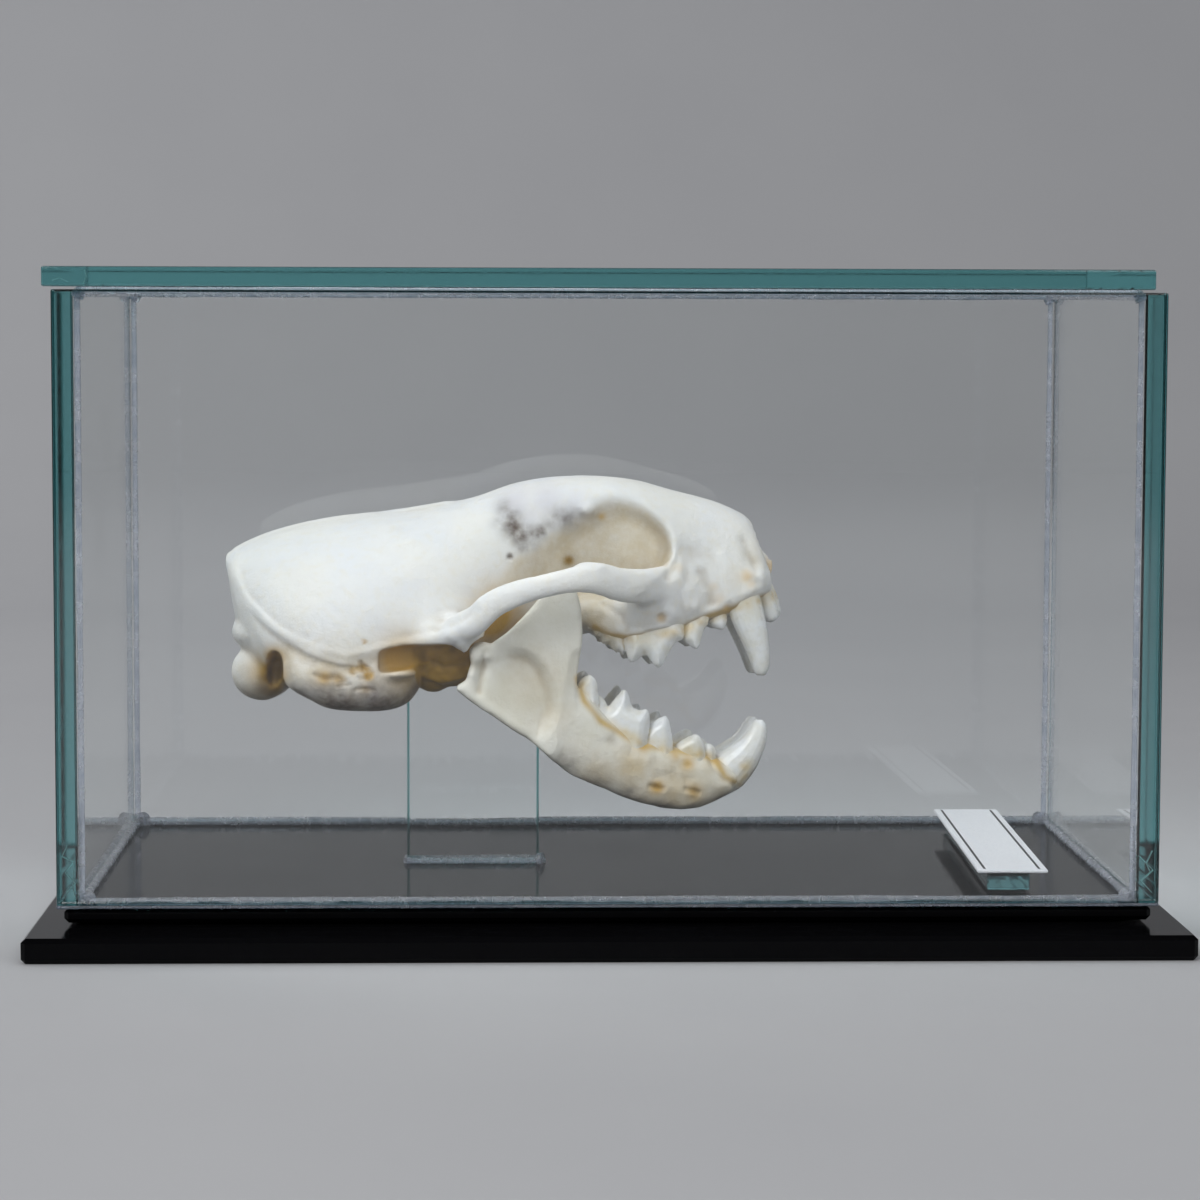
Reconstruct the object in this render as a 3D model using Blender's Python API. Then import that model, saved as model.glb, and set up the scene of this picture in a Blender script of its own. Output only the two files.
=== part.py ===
# Polecat skull with its jaws open, on a clear post inside a small glass case with a black base.
# The skull is modelled in millimetres in a frame of its own: x runs forward from the back of
# the braincase, y to the animal's left and z up from the floor of the case.
import math

import bmesh
import bpy
import numpy as np
from mathutils import Euler, Matrix, Vector

MM = 0.001
GAP = 0.3            # clearance between pieces that touch
SLACK = 0.6          # clearance of the post and the jaw heads in their seats

# Base and glass case
BOARD = (128.0, 81.0, 2.8)
PLINTH = (120.5, 65.0, 2.0)
CASE_WIDTH = 122.0
CASE_DEPTH = 66.0
GLASS_HEIGHT = 70.4
GLASS = 2.2
GLASS_EASE = 0.2     # eased edges
BASE_EASE = 0.5
CARD_EASE = 0.1
LID_SHIFT = -1.2     # the top pane overhangs on the left
LID_WIDTH = 121.6
FLOOR = BOARD[2] + PLINTH[2]

# Post under the skull and the label on its glass strip
POST_WIDTH = 15.7
POST_THICK = 2.6
POST_X = -15.3
POST_TOP = 21.9      # above the floor of the case
POST_SLOT = 9.0      # depth of its slot under the skull
CARD = (8.0, 48.0, 0.35)
CARD_AT = (46.5, -0.7)
CARD_TURN = -1.6     # degrees
STRIP = (4.9, 47.0, 1.9)
STRIP_AT = (46.2, 0.1)

# Place and pose of the skull
SKULL_BACK = -44.7   # x of the back of the braincase in the case
PIVOT = (33.0, 0.0, 30.0)
ROLL = -4.6          # degrees, the animal's left side hangs lower
YAW = 0.3

# Sampling of the skull's shapes
VOXEL = 0.42
CRANIUM_SOFTEN = 6   # smoothing passes after the masses are fused
JAW_SOFTEN = 3
CUT_SOFTEN = 2       # and after the openings are cut
CRANIUM_FACES = 6400
JAW_FACES = 1500
RING = 28
BALL_DETAIL = 3
TOOTH_SIDES = 6
CUSP_PROFILE = ((0.0, 0.86), (0.35, 1.0), (0.72, 0.66), (1.0, 0.16))

# Braincase, forehead and snout: x, top, floor, half width, height of the widest line,
# fullness of the upper and of the lower half (2 is an ellipse, more is boxier)
CORE = (
    (0.5, 36.9, 34.2, 4.2, 35.6, 2.0, 2.0),
    (1.2, 37.5, 27.6, 7.6, 33.6, 2.0, 2.2),
    (3.0, 38.1, 24.2, 10.2, 31.4, 2.0, 2.2),
    (6.0, 39.2, 21.6, 12.6, 28.9, 2.0, 2.4),
    (10.0, 40.2, 20.8, 14.2, 27.8, 2.0, 2.6),
    (14.0, 40.9, 20.8, 14.9, 28.0, 2.0, 2.6),
    (18.0, 41.4, 21.0, 14.8, 28.8, 2.0, 2.6),
    (22.0, 41.8, 21.6, 14.2, 29.6, 2.0, 2.5),
    (26.0, 42.6, 22.8, 12.9, 30.6, 2.0, 2.4),
    (30.0, 43.9, 24.0, 10.9, 32.0, 2.1, 2.2),
    (34.0, 45.3, 25.2, 8.9, 34.5, 2.3, 2.0),
    (37.5, 46.0, 26.2, 7.9, 38.0, 2.5, 1.8),
    (41.0, 46.25, 27.0, 8.7, 41.2, 2.7, 1.6),
    (45.0, 46.2, 27.6, 9.2, 41.0, 2.8, 1.7),
    (49.0, 45.7, 28.4, 10.2, 38.6, 2.6, 2.0),
    (52.0, 44.9, 29.4, 10.4, 36.8, 2.5, 2.4),
    (55.0, 44.15, 30.2, 9.2, 36.4, 2.4, 2.6),
    (58.0, 43.3, 31.0, 8.2, 36.4, 2.4, 2.6),
    (60.3, 42.4, 31.6, 7.7, 36.2, 2.3, 2.6),
    (62.2, 41.2, 32.0, 7.2, 35.6, 2.2, 2.6),
    (63.6, 39.0, 32.2, 6.2, 34.8, 2.1, 2.6),
    (64.8, 36.4, 32.4, 4.9, 34.2, 2.0, 2.6),
    (65.5, 34.8, 32.8, 3.0, 33.8, 2.0, 2.0),
)

# Palate with the tooth-bearing edge, in the same columns
PALATE = (
    (36.5, 31.0, 27.4, 3.6, 28.8, 2.0, 2.6),
    (39.0, 32.0, 28.0, 5.6, 29.8, 2.0, 2.8),
    (41.6, 33.0, 28.2, 8.0, 30.2, 2.0, 3.2),
    (43.8, 33.6, 27.2, 9.7, 30.2, 2.0, 3.8),
    (46.0, 34.0, 26.6, 10.4, 30.2, 2.0, 4.0),
    (48.5, 35.0, 27.1, 10.6, 30.4, 2.0, 4.0),
    (51.5, 36.0, 28.1, 10.4, 31.2, 2.0, 4.0),
    (54.5, 37.0, 29.0, 9.2, 32.4, 2.0, 4.0),
    (57.5, 37.0, 30.0, 8.2, 33.2, 2.0, 4.0),
    (60.5, 37.0, 31.0, 7.7, 33.8, 2.0, 3.6),
    (63.0, 36.5, 31.8, 6.8, 34.0, 2.0, 3.4),
    (65.2, 35.0, 32.3, 4.0, 33.6, 2.0, 3.0),
)

# Swept ridges and bars: x, y, z, height and thickness
SAGITTAL_CREST = (
    (0.9, 0.0, 36.6, 2.0, 1.6),
    (5.5, 0.0, 38.9, 1.9, 1.3),
    (12.4, 0.0, 40.5, 1.8, 1.1),
    (20.0, 0.0, 41.4, 1.7, 1.0),
    (27.0, 0.0, 42.6, 1.6, 1.0),
    (32.0, 0.0, 43.9, 1.4, 1.2),
)
LAMBDOID_CREST = (
    (0.75, 0.8, 36.6, 1.7, 1.4),
    (1.0, 4.2, 35.6, 1.8, 1.4),
    (1.9, 8.0, 33.1, 1.8, 1.4),
    (3.9, 11.6, 30.4, 1.8, 1.5),
    (7.4, 14.2, 27.9, 1.9, 1.6),
    (11.4, 15.8, 26.0, 2.1, 1.8),
    (15.2, 16.4, 24.9, 2.4, 2.0),
)
SQUAMOSAL_SHELF = (
    (14.8, 15.6, 25.2, 2.0, 2.6),
    (18.6, 14.8, 26.5, 1.6, 2.4),
    (22.6, 14.4, 26.9, 1.7, 2.6),
    (26.6, 15.4, 27.0, 2.2, 3.4),
)
ARCH = (
    (22.5, 12.4, 28.2, 3.4, 3.0),
    (25.6, 14.2, 27.9, 3.8, 3.8),
    (28.0, 16.4, 28.2, 4.0, 3.4),
    (29.8, 17.9, 29.3, 3.6, 2.6),
    (31.4, 18.8, 30.8, 3.3, 2.2),
    (34.0, 19.4, 32.1, 3.1, 2.0),
    (37.6, 19.5, 33.1, 2.8, 1.9),
    (41.0, 19.1, 33.7, 3.2, 2.0),
    (43.6, 18.2, 33.7, 4.0, 2.2),
    (46.4, 16.2, 32.8, 4.4, 2.6),
    (49.2, 13.6, 32.2, 5.0, 3.4),
    (51.8, 10.8, 32.2, 5.6, 4.0),
    (54.0, 8.4, 32.6, 5.0, 3.0),
)
PTERYGOID = (
    (39.0, 5.0, 27.4, 3.4, 1.6),
    (35.0, 4.6, 26.0, 3.6, 1.3),
    (31.0, 4.2, 24.2, 3.4, 1.1),
    (28.0, 4.0, 22.7, 2.4, 1.0),
    (26.0, 3.9, 21.7, 1.2, 0.9),
)
CANINE_RIDGE = (
    (56.6, 5.6, 38.4, 2.6, 2.6),
    (59.2, 6.3, 35.2, 3.8, 3.4),
    (61.2, 6.6, 31.6, 4.0, 3.6),
)
EYE_CORNER = (
    (40.6, 6.0, 42.6, 3.2, 3.4),
    (42.0, 8.2, 42.2, 2.4, 2.8),
    (42.6, 9.5, 41.7, 1.2, 1.6),
)

# Ear capsule with the mastoid wall above it: x, y, z, half width, half height
EAR_CAPSULE = (
    (7.4, 11.4, 24.2, 1.2, 1.6),
    (8.6, 11.2, 23.9, 2.9, 2.9),
    (10.6, 10.9, 23.4, 4.0, 3.5),
    (12.8, 10.5, 22.8, 4.6, 3.95),
    (16.4, 9.9, 22.4, 4.9, 3.85),
    (19.6, 9.2, 22.4, 4.8, 3.75),
    (21.8, 8.6, 22.6, 3.9, 3.1),
    (23.2, 8.2, 22.9, 2.0, 1.7),
)

# Rounded masses: centre, half sizes, turn about z in degrees
MASSES = (
    ((4.5, 5.0, 22.8), (3.5, 2.7, 3.4), 18.0),       # occipital condyle
    ((4.8, 3.2, 21.4), (2.6, 3.0, 1.6), 0.0),        # its inner end under the spinal opening
    ((3.4, 4.4, 28.4), (2.9, 4.2, 2.2), 0.0),        # swelling over the spinal opening
    ((19.8, 12.0, 23.3), (3.8, 2.6, 1.5), -6.0),     # lip under the ear opening
    ((12.6, 13.2, 25.2), (4.4, 3.0, 2.6), -24.0),    # mastoid
    ((28.0, 13.2, 28.0), (2.9, 4.6, 2.2), 8.0),      # roof of the jaw joint
    ((28.0, 14.2, 26.1), (1.0, 3.2, 1.3), 6.0),      # ridge behind the jaw joint
    ((42.7, 18.4, 35.1), (1.3, 1.0, 1.2), 0.0),      # corner on the cheek bar
)

# Openings cut into the bone: centre, half sizes, turns about x, y and z in degrees
EYE_SOCKET = ((47.3, 14.6, 38.3), (5.5, 8.2, 4.2), (0.0, 20.0, 0.0))
TEMPLE = ((40.2, 11.4, 37.4), (7.0, 4.6, 3.4), (0.0, -14.0, 8.0))
EAR = ((20.9, 14.2, 24.75), (2.4, 4.4, 1.75), (0.0, 0.0, 0.0))
CHEEK_HOLE = ((54.4, 12.3, 34.6), (1.7, 1.6, 1.1), (0.0, 0.0, 20.0))
SPINAL_HOLE = ((0.6, 0.0, 24.6), (4.8, 4.0, 3.3), (0.0, 0.0, 0.0))
NOSE = ((64.4, 0.0, 38.4), (4.2, 3.6, 3.0), (0.0, -35.0, 0.0))
MOUTH_ROOF = ((50.0, 0.0, 26.6), (13.0, 6.0, 2.9), (0.0, -13.0, 0.0))

# Teeth with one cusp to a row: root, tip, length along the jaw and width
UPPER_TEETH = (
    ((64.9, 0.8, 32.8), (65.9, 0.75, 29.2), 1.3, 1.3),
    ((64.5, 2.3, 32.8), (65.6, 2.25, 29.0), 1.5, 1.4),
    ((63.6, 3.9, 32.6), (64.8, 3.8, 29.1), 2.2, 1.8),
    ((58.1, 6.9, 30.9), (58.6, 7.2, 28.1), 2.3, 1.5),
    ((55.4, 7.9, 30.0), (55.4, 8.3, 26.2), 3.4, 2.0),
    ((50.9, 9.3, 29.2), (50.9, 9.8, 23.9), 4.6, 2.7),
    ((48.3, 9.5, 28.4), (47.6, 9.8, 24.3), 3.4, 2.3),
    ((52.6, 9.0, 29.2), (53.0, 9.2, 26.6), 2.2, 2.0),
    ((52.2, 7.4, 29.4), (52.4, 7.2, 26.9), 2.2, 2.2),
    ((46.2, 9.1, 28.0), (46.4, 9.4, 25.0), 2.0, 2.4),
    ((44.9, 8.8, 28.4), (45.0, 9.2, 26.0), 2.0, 2.4),
    ((45.2, 6.6, 28.6), (45.2, 6.4, 26.6), 2.6, 3.2),
)
LOWER_TEETH = (
    ((60.6, 0.9, 11.0), (62.3, 0.9, 13.6), 1.0, 0.9),
    ((60.4, 1.9, 11.0), (62.1, 1.9, 13.8), 1.1, 1.0),
    ((60.2, 2.9, 11.2), (61.8, 3.0, 13.8), 1.2, 1.1),
    ((57.0, 6.6, 11.8), (56.9, 6.8, 14.6), 1.9, 1.3),
    ((54.8, 7.5, 12.2), (55.3, 7.8, 15.6), 3.5, 1.8),
    ((51.3, 8.5, 12.8), (51.7, 8.7, 17.8), 3.9, 2.1),
    ((48.9, 9.2, 13.8), (49.1, 9.2, 18.9), 3.1, 2.3),
    ((46.4, 9.9, 15.0), (46.8, 9.8, 21.0), 4.0, 2.6),
    ((44.3, 10.4, 16.4), (44.3, 10.2, 20.0), 2.8, 2.4),
    ((42.8, 10.8, 19.2), (42.2, 10.7, 22.9), 2.0, 1.9),
)
# Canines bend along their length: x, y, z, length and width
UPPER_CANINE = (
    (60.3, 6.0, 34.0, 3.4, 3.0),
    (61.2, 6.4, 30.8, 4.1, 3.2),
    (62.0, 6.8, 28.2, 4.0, 3.0),
    (62.65, 7.0, 26.0, 3.2, 2.6),
    (63.1, 7.0, 24.2, 2.2, 2.0),
    (63.2, 6.9, 22.8, 1.0, 0.9),
)
LOWER_CANINE = (
    (57.6, 4.5, 9.6, 3.4, 2.8),
    (59.0, 5.1, 11.2, 4.4, 3.4),
    (61.0, 5.6, 12.7, 4.1, 3.2),
    (62.2, 5.9, 14.3, 3.2, 2.7),
    (62.75, 6.0, 15.8, 2.3, 2.0),
    (62.95, 6.05, 17.0, 0.9, 0.8),
)

# Lower jaw: x, top, floor, middle y and half thickness of the bar that holds the teeth
JAW_BAR = (
    (34.0, 18.6, 16.6, 12.9, 1.0),
    (37.0, 20.4, 14.4, 12.5, 1.3),
    (40.0, 21.8, 11.4, 11.8, 1.7),
    (42.6, 20.4, 10.1, 11.0, 2.0),
    (44.6, 17.2, 9.4, 10.4, 2.1),
    (47.0, 15.2, 8.4, 9.7, 2.2),
    (50.0, 13.9, 7.5, 8.7, 2.2),
    (53.0, 13.6, 6.9, 7.7, 2.2),
    (56.0, 13.2, 7.1, 6.6, 2.4),
    (58.4, 12.6, 8.1, 5.5, 2.7),
    (60.2, 12.0, 9.3, 4.6, 2.5),
    (61.3, 11.6, 10.4, 4.0, 1.6),
)
# Outline of the jaw's rear plate, round from the angle at the back
JAW_PLATE = (
    (27.3, 21.3), (28.7, 22.5), (29.6, 24.6), (31.2, 26.6), (33.6, 28.7), (36.4, 31.6),
    (38.6, 33.8), (40.6, 33.6), (41.7, 31.2), (42.0, 27.0), (41.4, 23.0), (41.2, 17.0),
    (40.0, 12.2), (36.0, 15.2), (32.4, 17.7), (29.2, 19.8),
)
PLATE_Y = 12.9
PLATE_THICK = 2.1
PLATE_FLARE = 0.07   # the plate leans outwards behind its front edge
PLATE_FRONT = 41.7
JAW_HEAD = (30.4, 25.2)
JAW_HEAD_Y = (9.6, 15.9)
JAW_HEAD_RADIUS = 1.5
JAW_HEAD_PROFILE = ((0.0, 0.45), (0.15, 0.85), (0.5, 1.0), (0.85, 0.8), (1.0, 0.4))
MUSCLE_HOLLOW = ((35.3, 15.1, 21.4), (4.3, 1.9, 5.7), (6.0, -4.0, -6.0))
CHIN = ((58.6, 2.3, 10.2), (3.2, 3.2, 1.7), (0.0, -32.0, 0.0))
BEYOND_MIDDLE = ((40.0, -12.0, 0.0), (70.0, 0.25, 30.0))   # cut away where the halves meet


def clear_scene():
    for obj in list(bpy.data.objects):
        bpy.data.objects.remove(obj, do_unlink=True)


def smooth_rows(rows, steps):
    """Rows on a smooth curve through the given rows, with steps rows to each gap."""
    rows = np.array(rows, float)
    padded = np.vstack([2 * rows[0] - rows[1], rows, 2 * rows[-1] - rows[-2]])
    out = []
    for a, b, c, d in zip(padded, padded[1:], padded[2:], padded[3:]):
        for t in np.linspace(0.0, 1.0, steps, endpoint=False):
            bend = (2 * a - 5 * b + 4 * c - d) * t * t + (3 * b - a - 3 * c + d) * t ** 3
            out.append(0.5 * (2 * b + (c - a) * t + bend))
    out.append(rows[-1])
    return np.array(out)


def power(value, exponent):
    return math.copysign(abs(value) ** exponent, value)


def loft(bm, rings):
    """Closed tube through rings of points, with a fan at each end."""
    loops = [[bm.verts.new(p) for p in ring] for ring in rings]
    count = len(loops[0])
    faces = []
    for one, two in zip(loops, loops[1:]):
        for k in range(count):
            j = (k + 1) % count
            faces.append(bm.faces.new((one[k], one[j], two[j], two[k])))
    for loop, flip in ((loops[0], True), (loops[-1], False)):
        centre = bm.verts.new(sum((v.co for v in loop), Vector()) / count)
        for k in range(count):
            pair = (loop[k], loop[(k + 1) % count])
            faces.append(bm.faces.new((*(reversed(pair) if flip else pair), centre)))
    bmesh.ops.recalc_face_normals(bm, faces=faces)


def body(bm, rows, steps=4):
    """Lofted mass from a table of cross-sections."""
    rings = []
    for x, top, floor, half, waist, upper, lower in smooth_rows(rows, steps):
        ring = []
        for k in range(RING):
            c, s = math.cos(math.tau * k / RING), math.sin(math.tau * k / RING)
            full, reach = (upper, top - waist) if s >= 0 else (lower, waist - floor)
            ring.append((x, half * power(c, 2 / full), waist + reach * power(s, 2 / full)))
        rings.append(ring)
    loft(bm, rings)


def lobe(bm, rows, steps=3, sides=20, fullness=2.4):
    """Lofted mass beside the middle plane: x, y, z, half width, half height."""
    rings = []
    for x, y, z, wide, high in smooth_rows(rows, steps):
        ring = []
        for k in range(sides):
            c, s = math.cos(math.tau * k / sides), math.sin(math.tau * k / sides)
            ring.append((x, y + wide * power(c, 2 / fullness), z + high * power(s, 2 / fullness)))
        rings.append(ring)
    loft(bm, rings)


def sweep(bm, rows, steps=4, sides=12):
    """Bar of oval section along a path: x, y, z, height, thickness."""
    rows = smooth_rows(rows, steps)
    ahead = np.gradient(rows[:, :3], axis=0)
    rings = []
    for row, along in zip(rows, ahead):
        along = Vector(along).normalized()
        side = along.cross(Vector((0.0, 0.0, 1.0))).normalized()
        up = side.cross(along)
        ring = []
        for k in range(sides):
            turn = math.tau * k / sides
            across = side * (math.cos(turn) * row[4] / 2)
            ring.append(Vector(row[:3]) + across + up * (math.sin(turn) * row[3] / 2))
        rings.append(ring)
    loft(bm, rings)


def ball(bm, centre, half, turns=(0.0, 0.0, 0.0)):
    turn = Euler([math.radians(a) for a in turns]).to_matrix().to_4x4()
    place = Matrix.Translation(centre) @ turn @ Matrix.Diagonal((*half, 1.0))
    bmesh.ops.create_icosphere(bm, subdivisions=BALL_DETAIL, radius=1.0, matrix=place)


def tooth(bm, rows, sides):
    """Oval sections along a tooth: x, y, z, length along the jaw and width across it."""
    rows = np.array(rows, float)
    ahead = np.gradient(rows[:, :3], axis=0)
    rings = []
    for row, along in zip(rows, ahead):
        along = Vector(along).normalized()
        out = along.cross(Vector((1.0, 0.0, 0.0))).normalized()
        fore = out.cross(along)
        ring = []
        for k in range(sides):
            turn = math.tau * (k + 0.5) / sides
            ahead_by = fore * (math.cos(turn) * row[3] / 2)
            ring.append(Vector(row[:3]) + ahead_by + out * (math.sin(turn) * row[4] / 2))
        rings.append(ring)
    loft(bm, rings)


def cusp_rows(root, tip, length, width):
    """A straight cusp that is widest a third of the way up and ends in a blunt tip."""
    root, tip = np.array(root), np.array(tip)
    rows = []
    for t, size in CUSP_PROFILE:
        rows.append((*(root + (tip - root) * t), length * size, width * size))
    return rows


def mirror(bm):
    """Add the other side's copy of everything."""
    copy = bmesh.ops.duplicate(bm, geom=bm.verts[:] + bm.edges[:] + bm.faces[:])["geom"]
    verts = [item for item in copy if isinstance(item, bmesh.types.BMVert)]
    faces = [item for item in copy if isinstance(item, bmesh.types.BMFace)]
    bmesh.ops.scale(bm, vec=(1.0, -1.0, 1.0), verts=verts)
    bmesh.ops.reverse_faces(bm, faces=faces)


def as_object(bm, name):
    mesh = bpy.data.meshes.new(name)
    bm.to_mesh(mesh)
    bm.free()
    obj = bpy.data.objects.new(name, mesh)
    bpy.context.scene.collection.objects.link(obj)
    return obj


def apply_modifiers(obj):
    bpy.context.view_layer.update()
    graph = bpy.context.evaluated_depsgraph_get()
    done = bpy.data.meshes.new_from_object(obj.evaluated_get(graph))
    obj.modifiers.clear()
    old = obj.data
    obj.data = done
    bpy.data.meshes.remove(old)


def fuse(obj, voxel, passes):
    """Join overlapping masses into one skin and soften where they meet."""
    skin = obj.modifiers.new("skin", "REMESH")
    skin.mode = "VOXEL"
    skin.voxel_size = voxel
    soft = obj.modifiers.new("soft", "SMOOTH")
    soft.factor = 0.5
    soft.iterations = passes
    apply_modifiers(obj)


def thin(obj, faces):
    """Collapse a fine skin to about the given number of triangles."""
    less = obj.modifiers.new("less", "DECIMATE")
    less.ratio = faces / sum(len(p.vertices) - 2 for p in obj.data.polygons)
    less.use_collapse_triangulate = True
    apply_modifiers(obj)


def combine(obj, others, operation):
    """One Boolean with a collection of closed objects, which are then removed."""
    group = bpy.data.collections.new("operands")
    bpy.context.scene.collection.children.link(group)
    for other in others:
        bpy.context.scene.collection.objects.unlink(other)
        group.objects.link(other)
    join = obj.modifiers.new("join", "BOOLEAN")
    join.operation = operation
    join.operand_type = "COLLECTION"
    join.collection = group
    join.solver = "EXACT"
    apply_modifiers(obj)
    for other in others:
        bpy.data.objects.remove(other, do_unlink=True)
    bpy.data.collections.remove(group)


def keep_largest(obj):
    """Keep the largest closed surface and split its faces into triangles."""
    bm = bmesh.new()
    bm.from_mesh(obj.data)
    bmesh.ops.triangulate(bm, faces=bm.faces[:])
    bm.verts.ensure_lookup_table()
    seen, shells = set(), []
    for start in bm.verts:
        if start in seen:
            continue
        shell, queue = [], [start]
        seen.add(start)
        while queue:
            vert = queue.pop()
            shell.append(vert)
            for edge in vert.link_edges:
                other = edge.other_vert(vert)
                if other not in seen:
                    seen.add(other)
                    queue.append(other)
        shells.append(shell)
    shells.sort(key=len)
    bmesh.ops.delete(bm, geom=[v for shell in shells[:-1] for v in shell], context="VERTS")
    bm.to_mesh(obj.data)
    bm.free()


def separate_ball(spec, side):
    """One cutter of the given side, as an object of its own."""
    centre, half, turns = spec
    bm = bmesh.new()
    ball(bm, centre, half, turns)
    if side < 0:
        bmesh.ops.scale(bm, vec=(1.0, -1.0, 1.0), verts=bm.verts[:])
        bmesh.ops.reverse_faces(bm, faces=bm.faces[:])
    return as_object(bm, "cutter")


def box_object(name, low, high):
    bm = bmesh.new()
    size = Vector(high) - Vector(low)
    place = Matrix.Translation((Vector(low) + Vector(high)) / 2) @ Matrix.Diagonal((*size, 1.0))
    bmesh.ops.create_cube(bm, size=1.0, matrix=place)
    return as_object(bm, name)


def jaw_head(bm, slack):
    """Spindle across the back of the jaw that turns in its joint."""
    inner, outer = JAW_HEAD_Y
    x, z = JAW_HEAD
    rows = []
    for t, size in JAW_HEAD_PROFILE:
        y = inner - slack + (outer - inner + 2 * slack) * t
        across = 2 * (JAW_HEAD_RADIUS * size + slack)
        rows.append((x, y, z, across, across))
    sweep(bm, rows, sides=16)


def teeth_objects(cusps, canine, side, sides):
    """Each tooth as an object, so that one union can root them all."""
    found = []
    for rows in [cusp_rows(*cusp) for cusp in cusps] + [canine]:
        bm = bmesh.new()
        tooth(bm, rows, sides)
        if side < 0:
            bmesh.ops.scale(bm, vec=(1.0, -1.0, 1.0), verts=bm.verts[:])
            bmesh.ops.reverse_faces(bm, faces=bm.faces[:])
        found.append(as_object(bm, "tooth"))
    return found


def cranium_bone():
    """Upper skull without its teeth, as one fine skin in millimetres."""
    bm = bmesh.new()
    for row in (LAMBDOID_CREST, SQUAMOSAL_SHELF, ARCH, PTERYGOID, CANINE_RIDGE, EYE_CORNER):
        sweep(bm, row)
    for centre, half, turn in MASSES:
        ball(bm, centre, half, (0.0, 0.0, turn))
    lobe(bm, EAR_CAPSULE)
    mirror(bm)
    body(bm, CORE)
    body(bm, PALATE)
    sweep(bm, SAGITTAL_CREST)
    bone = as_object(bm, "cranium")
    fuse(bone, VOXEL, CRANIUM_SOFTEN)
    cutters = [separate_ball(spec, 1) for spec in (NOSE, SPINAL_HOLE, MOUTH_ROOF)]
    for side in (1, -1):
        pair = (EYE_SOCKET, TEMPLE, EAR, CHEEK_HOLE)
        cutters += [separate_ball(spec, side) for spec in pair]
        bm = bmesh.new()
        jaw_head(bm, SLACK)
        if side < 0:
            bmesh.ops.scale(bm, vec=(1.0, -1.0, 1.0), verts=bm.verts[:])
            bmesh.ops.reverse_faces(bm, faces=bm.faces[:])
        cutters.append(as_object(bm, "cutter"))
    combine(bone, cutters, "DIFFERENCE")
    fuse(bone, VOXEL, CUT_SOFTEN)
    return bone


def pose_matrix():
    """Turns the skull's own frame into that of the case, in millimetres."""
    turn = Euler((math.radians(ROLL), 0.0, math.radians(YAW))).to_matrix().to_4x4()
    place = Vector((SKULL_BACK, 0.0, 0.0)) + Vector(PIVOT)
    return Matrix.Translation(place) @ turn @ Matrix.Translation(-Vector(PIVOT))


def post_slot():
    """Room for the upright post, as a cutter in the skull's own frame."""
    seat = POST_TOP + GAP
    reach, half = POST_WIDTH / 2 + SLACK, POST_THICK / 2 + SLACK
    low = (POST_X - reach, -half, seat - POST_SLOT)
    slot = box_object("slot", low, (POST_X + reach, half, seat))
    slot.data.transform(pose_matrix().inverted())
    return slot


def cranium():
    bone = cranium_bone()
    thin(bone, CRANIUM_FACES)
    combine(bone, [post_slot()], "DIFFERENCE")
    teeth = []
    for side in (1, -1):
        teeth += teeth_objects(UPPER_TEETH, UPPER_CANINE, side, TOOTH_SIDES)
    combine(bone, teeth, "UNION")
    keep_largest(bone)
    return bone


def mandible_bone():
    """Left half of the lower jaw without its teeth, in millimetres."""
    bm = bmesh.new()
    bar = [(x, y, (top + low) / 2, half, (top - low) / 2) for x, top, low, y, half in JAW_BAR]
    lobe(bm, bar, steps=4, sides=16, fullness=2.5)
    outline = smooth_rows(JAW_PLATE + JAW_PLATE[:1], 3)[:-1]
    rings = []
    for across in (-0.5, 0.5):
        ring = []
        for x, z in outline:
            lean = PLATE_FLARE * (PLATE_FRONT - x)
            ring.append((x, PLATE_Y + lean + PLATE_THICK * across, z))
        rings.append(ring)
    loft(bm, rings)
    jaw_head(bm, 0.0)
    ball(bm, *CHIN)
    bone = as_object(bm, "mandible")
    fuse(bone, VOXEL, JAW_SOFTEN)
    cutters = [separate_ball(MUSCLE_HOLLOW, 1), box_object("beyond", *BEYOND_MIDDLE)]
    combine(bone, cutters, "DIFFERENCE")
    fuse(bone, VOXEL, CUT_SOFTEN)
    return bone


def mandible(name, side):
    bone = mandible_bone()
    bone.name = name
    thin(bone, JAW_FACES)
    teeth = teeth_objects(LOWER_TEETH, LOWER_CANINE, 1, TOOTH_SIDES)
    combine(bone, teeth, "UNION")
    keep_largest(bone)
    if side < 0:
        bone.data.transform(Matrix.Diagonal((1.0, -1.0, 1.0, 1.0)))
        bone.data.flip_normals()
    return bone


def material(name, colour, roughness, alpha=1.0, transmission=0.0):
    made = bpy.data.materials.new(name)
    made.use_nodes = True
    shader = made.node_tree.nodes["Principled BSDF"]
    shader.inputs["Base Color"].default_value = (*colour, 1.0)
    shader.inputs["Roughness"].default_value = roughness
    shader.inputs["Metallic"].default_value = 0.0
    shader.inputs["Alpha"].default_value = alpha
    shader.inputs["Transmission Weight"].default_value = transmission
    return made


def plate(name, low, high, finish, bevel=GLASS_EASE):
    """Box with eased edges, from its lowest and highest corners in millimetres."""
    obj = box_object(name, low, high)
    centre = (Vector(low) + Vector(high)) / 2
    obj.data.transform(Matrix.Scale(MM, 4) @ Matrix.Translation(-centre))
    obj.location = centre * MM
    edge = obj.modifiers.new("eased edges", "BEVEL")
    edge.width = bevel * MM
    edge.segments = 1
    obj.data.materials.append(finish)
    return obj


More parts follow.
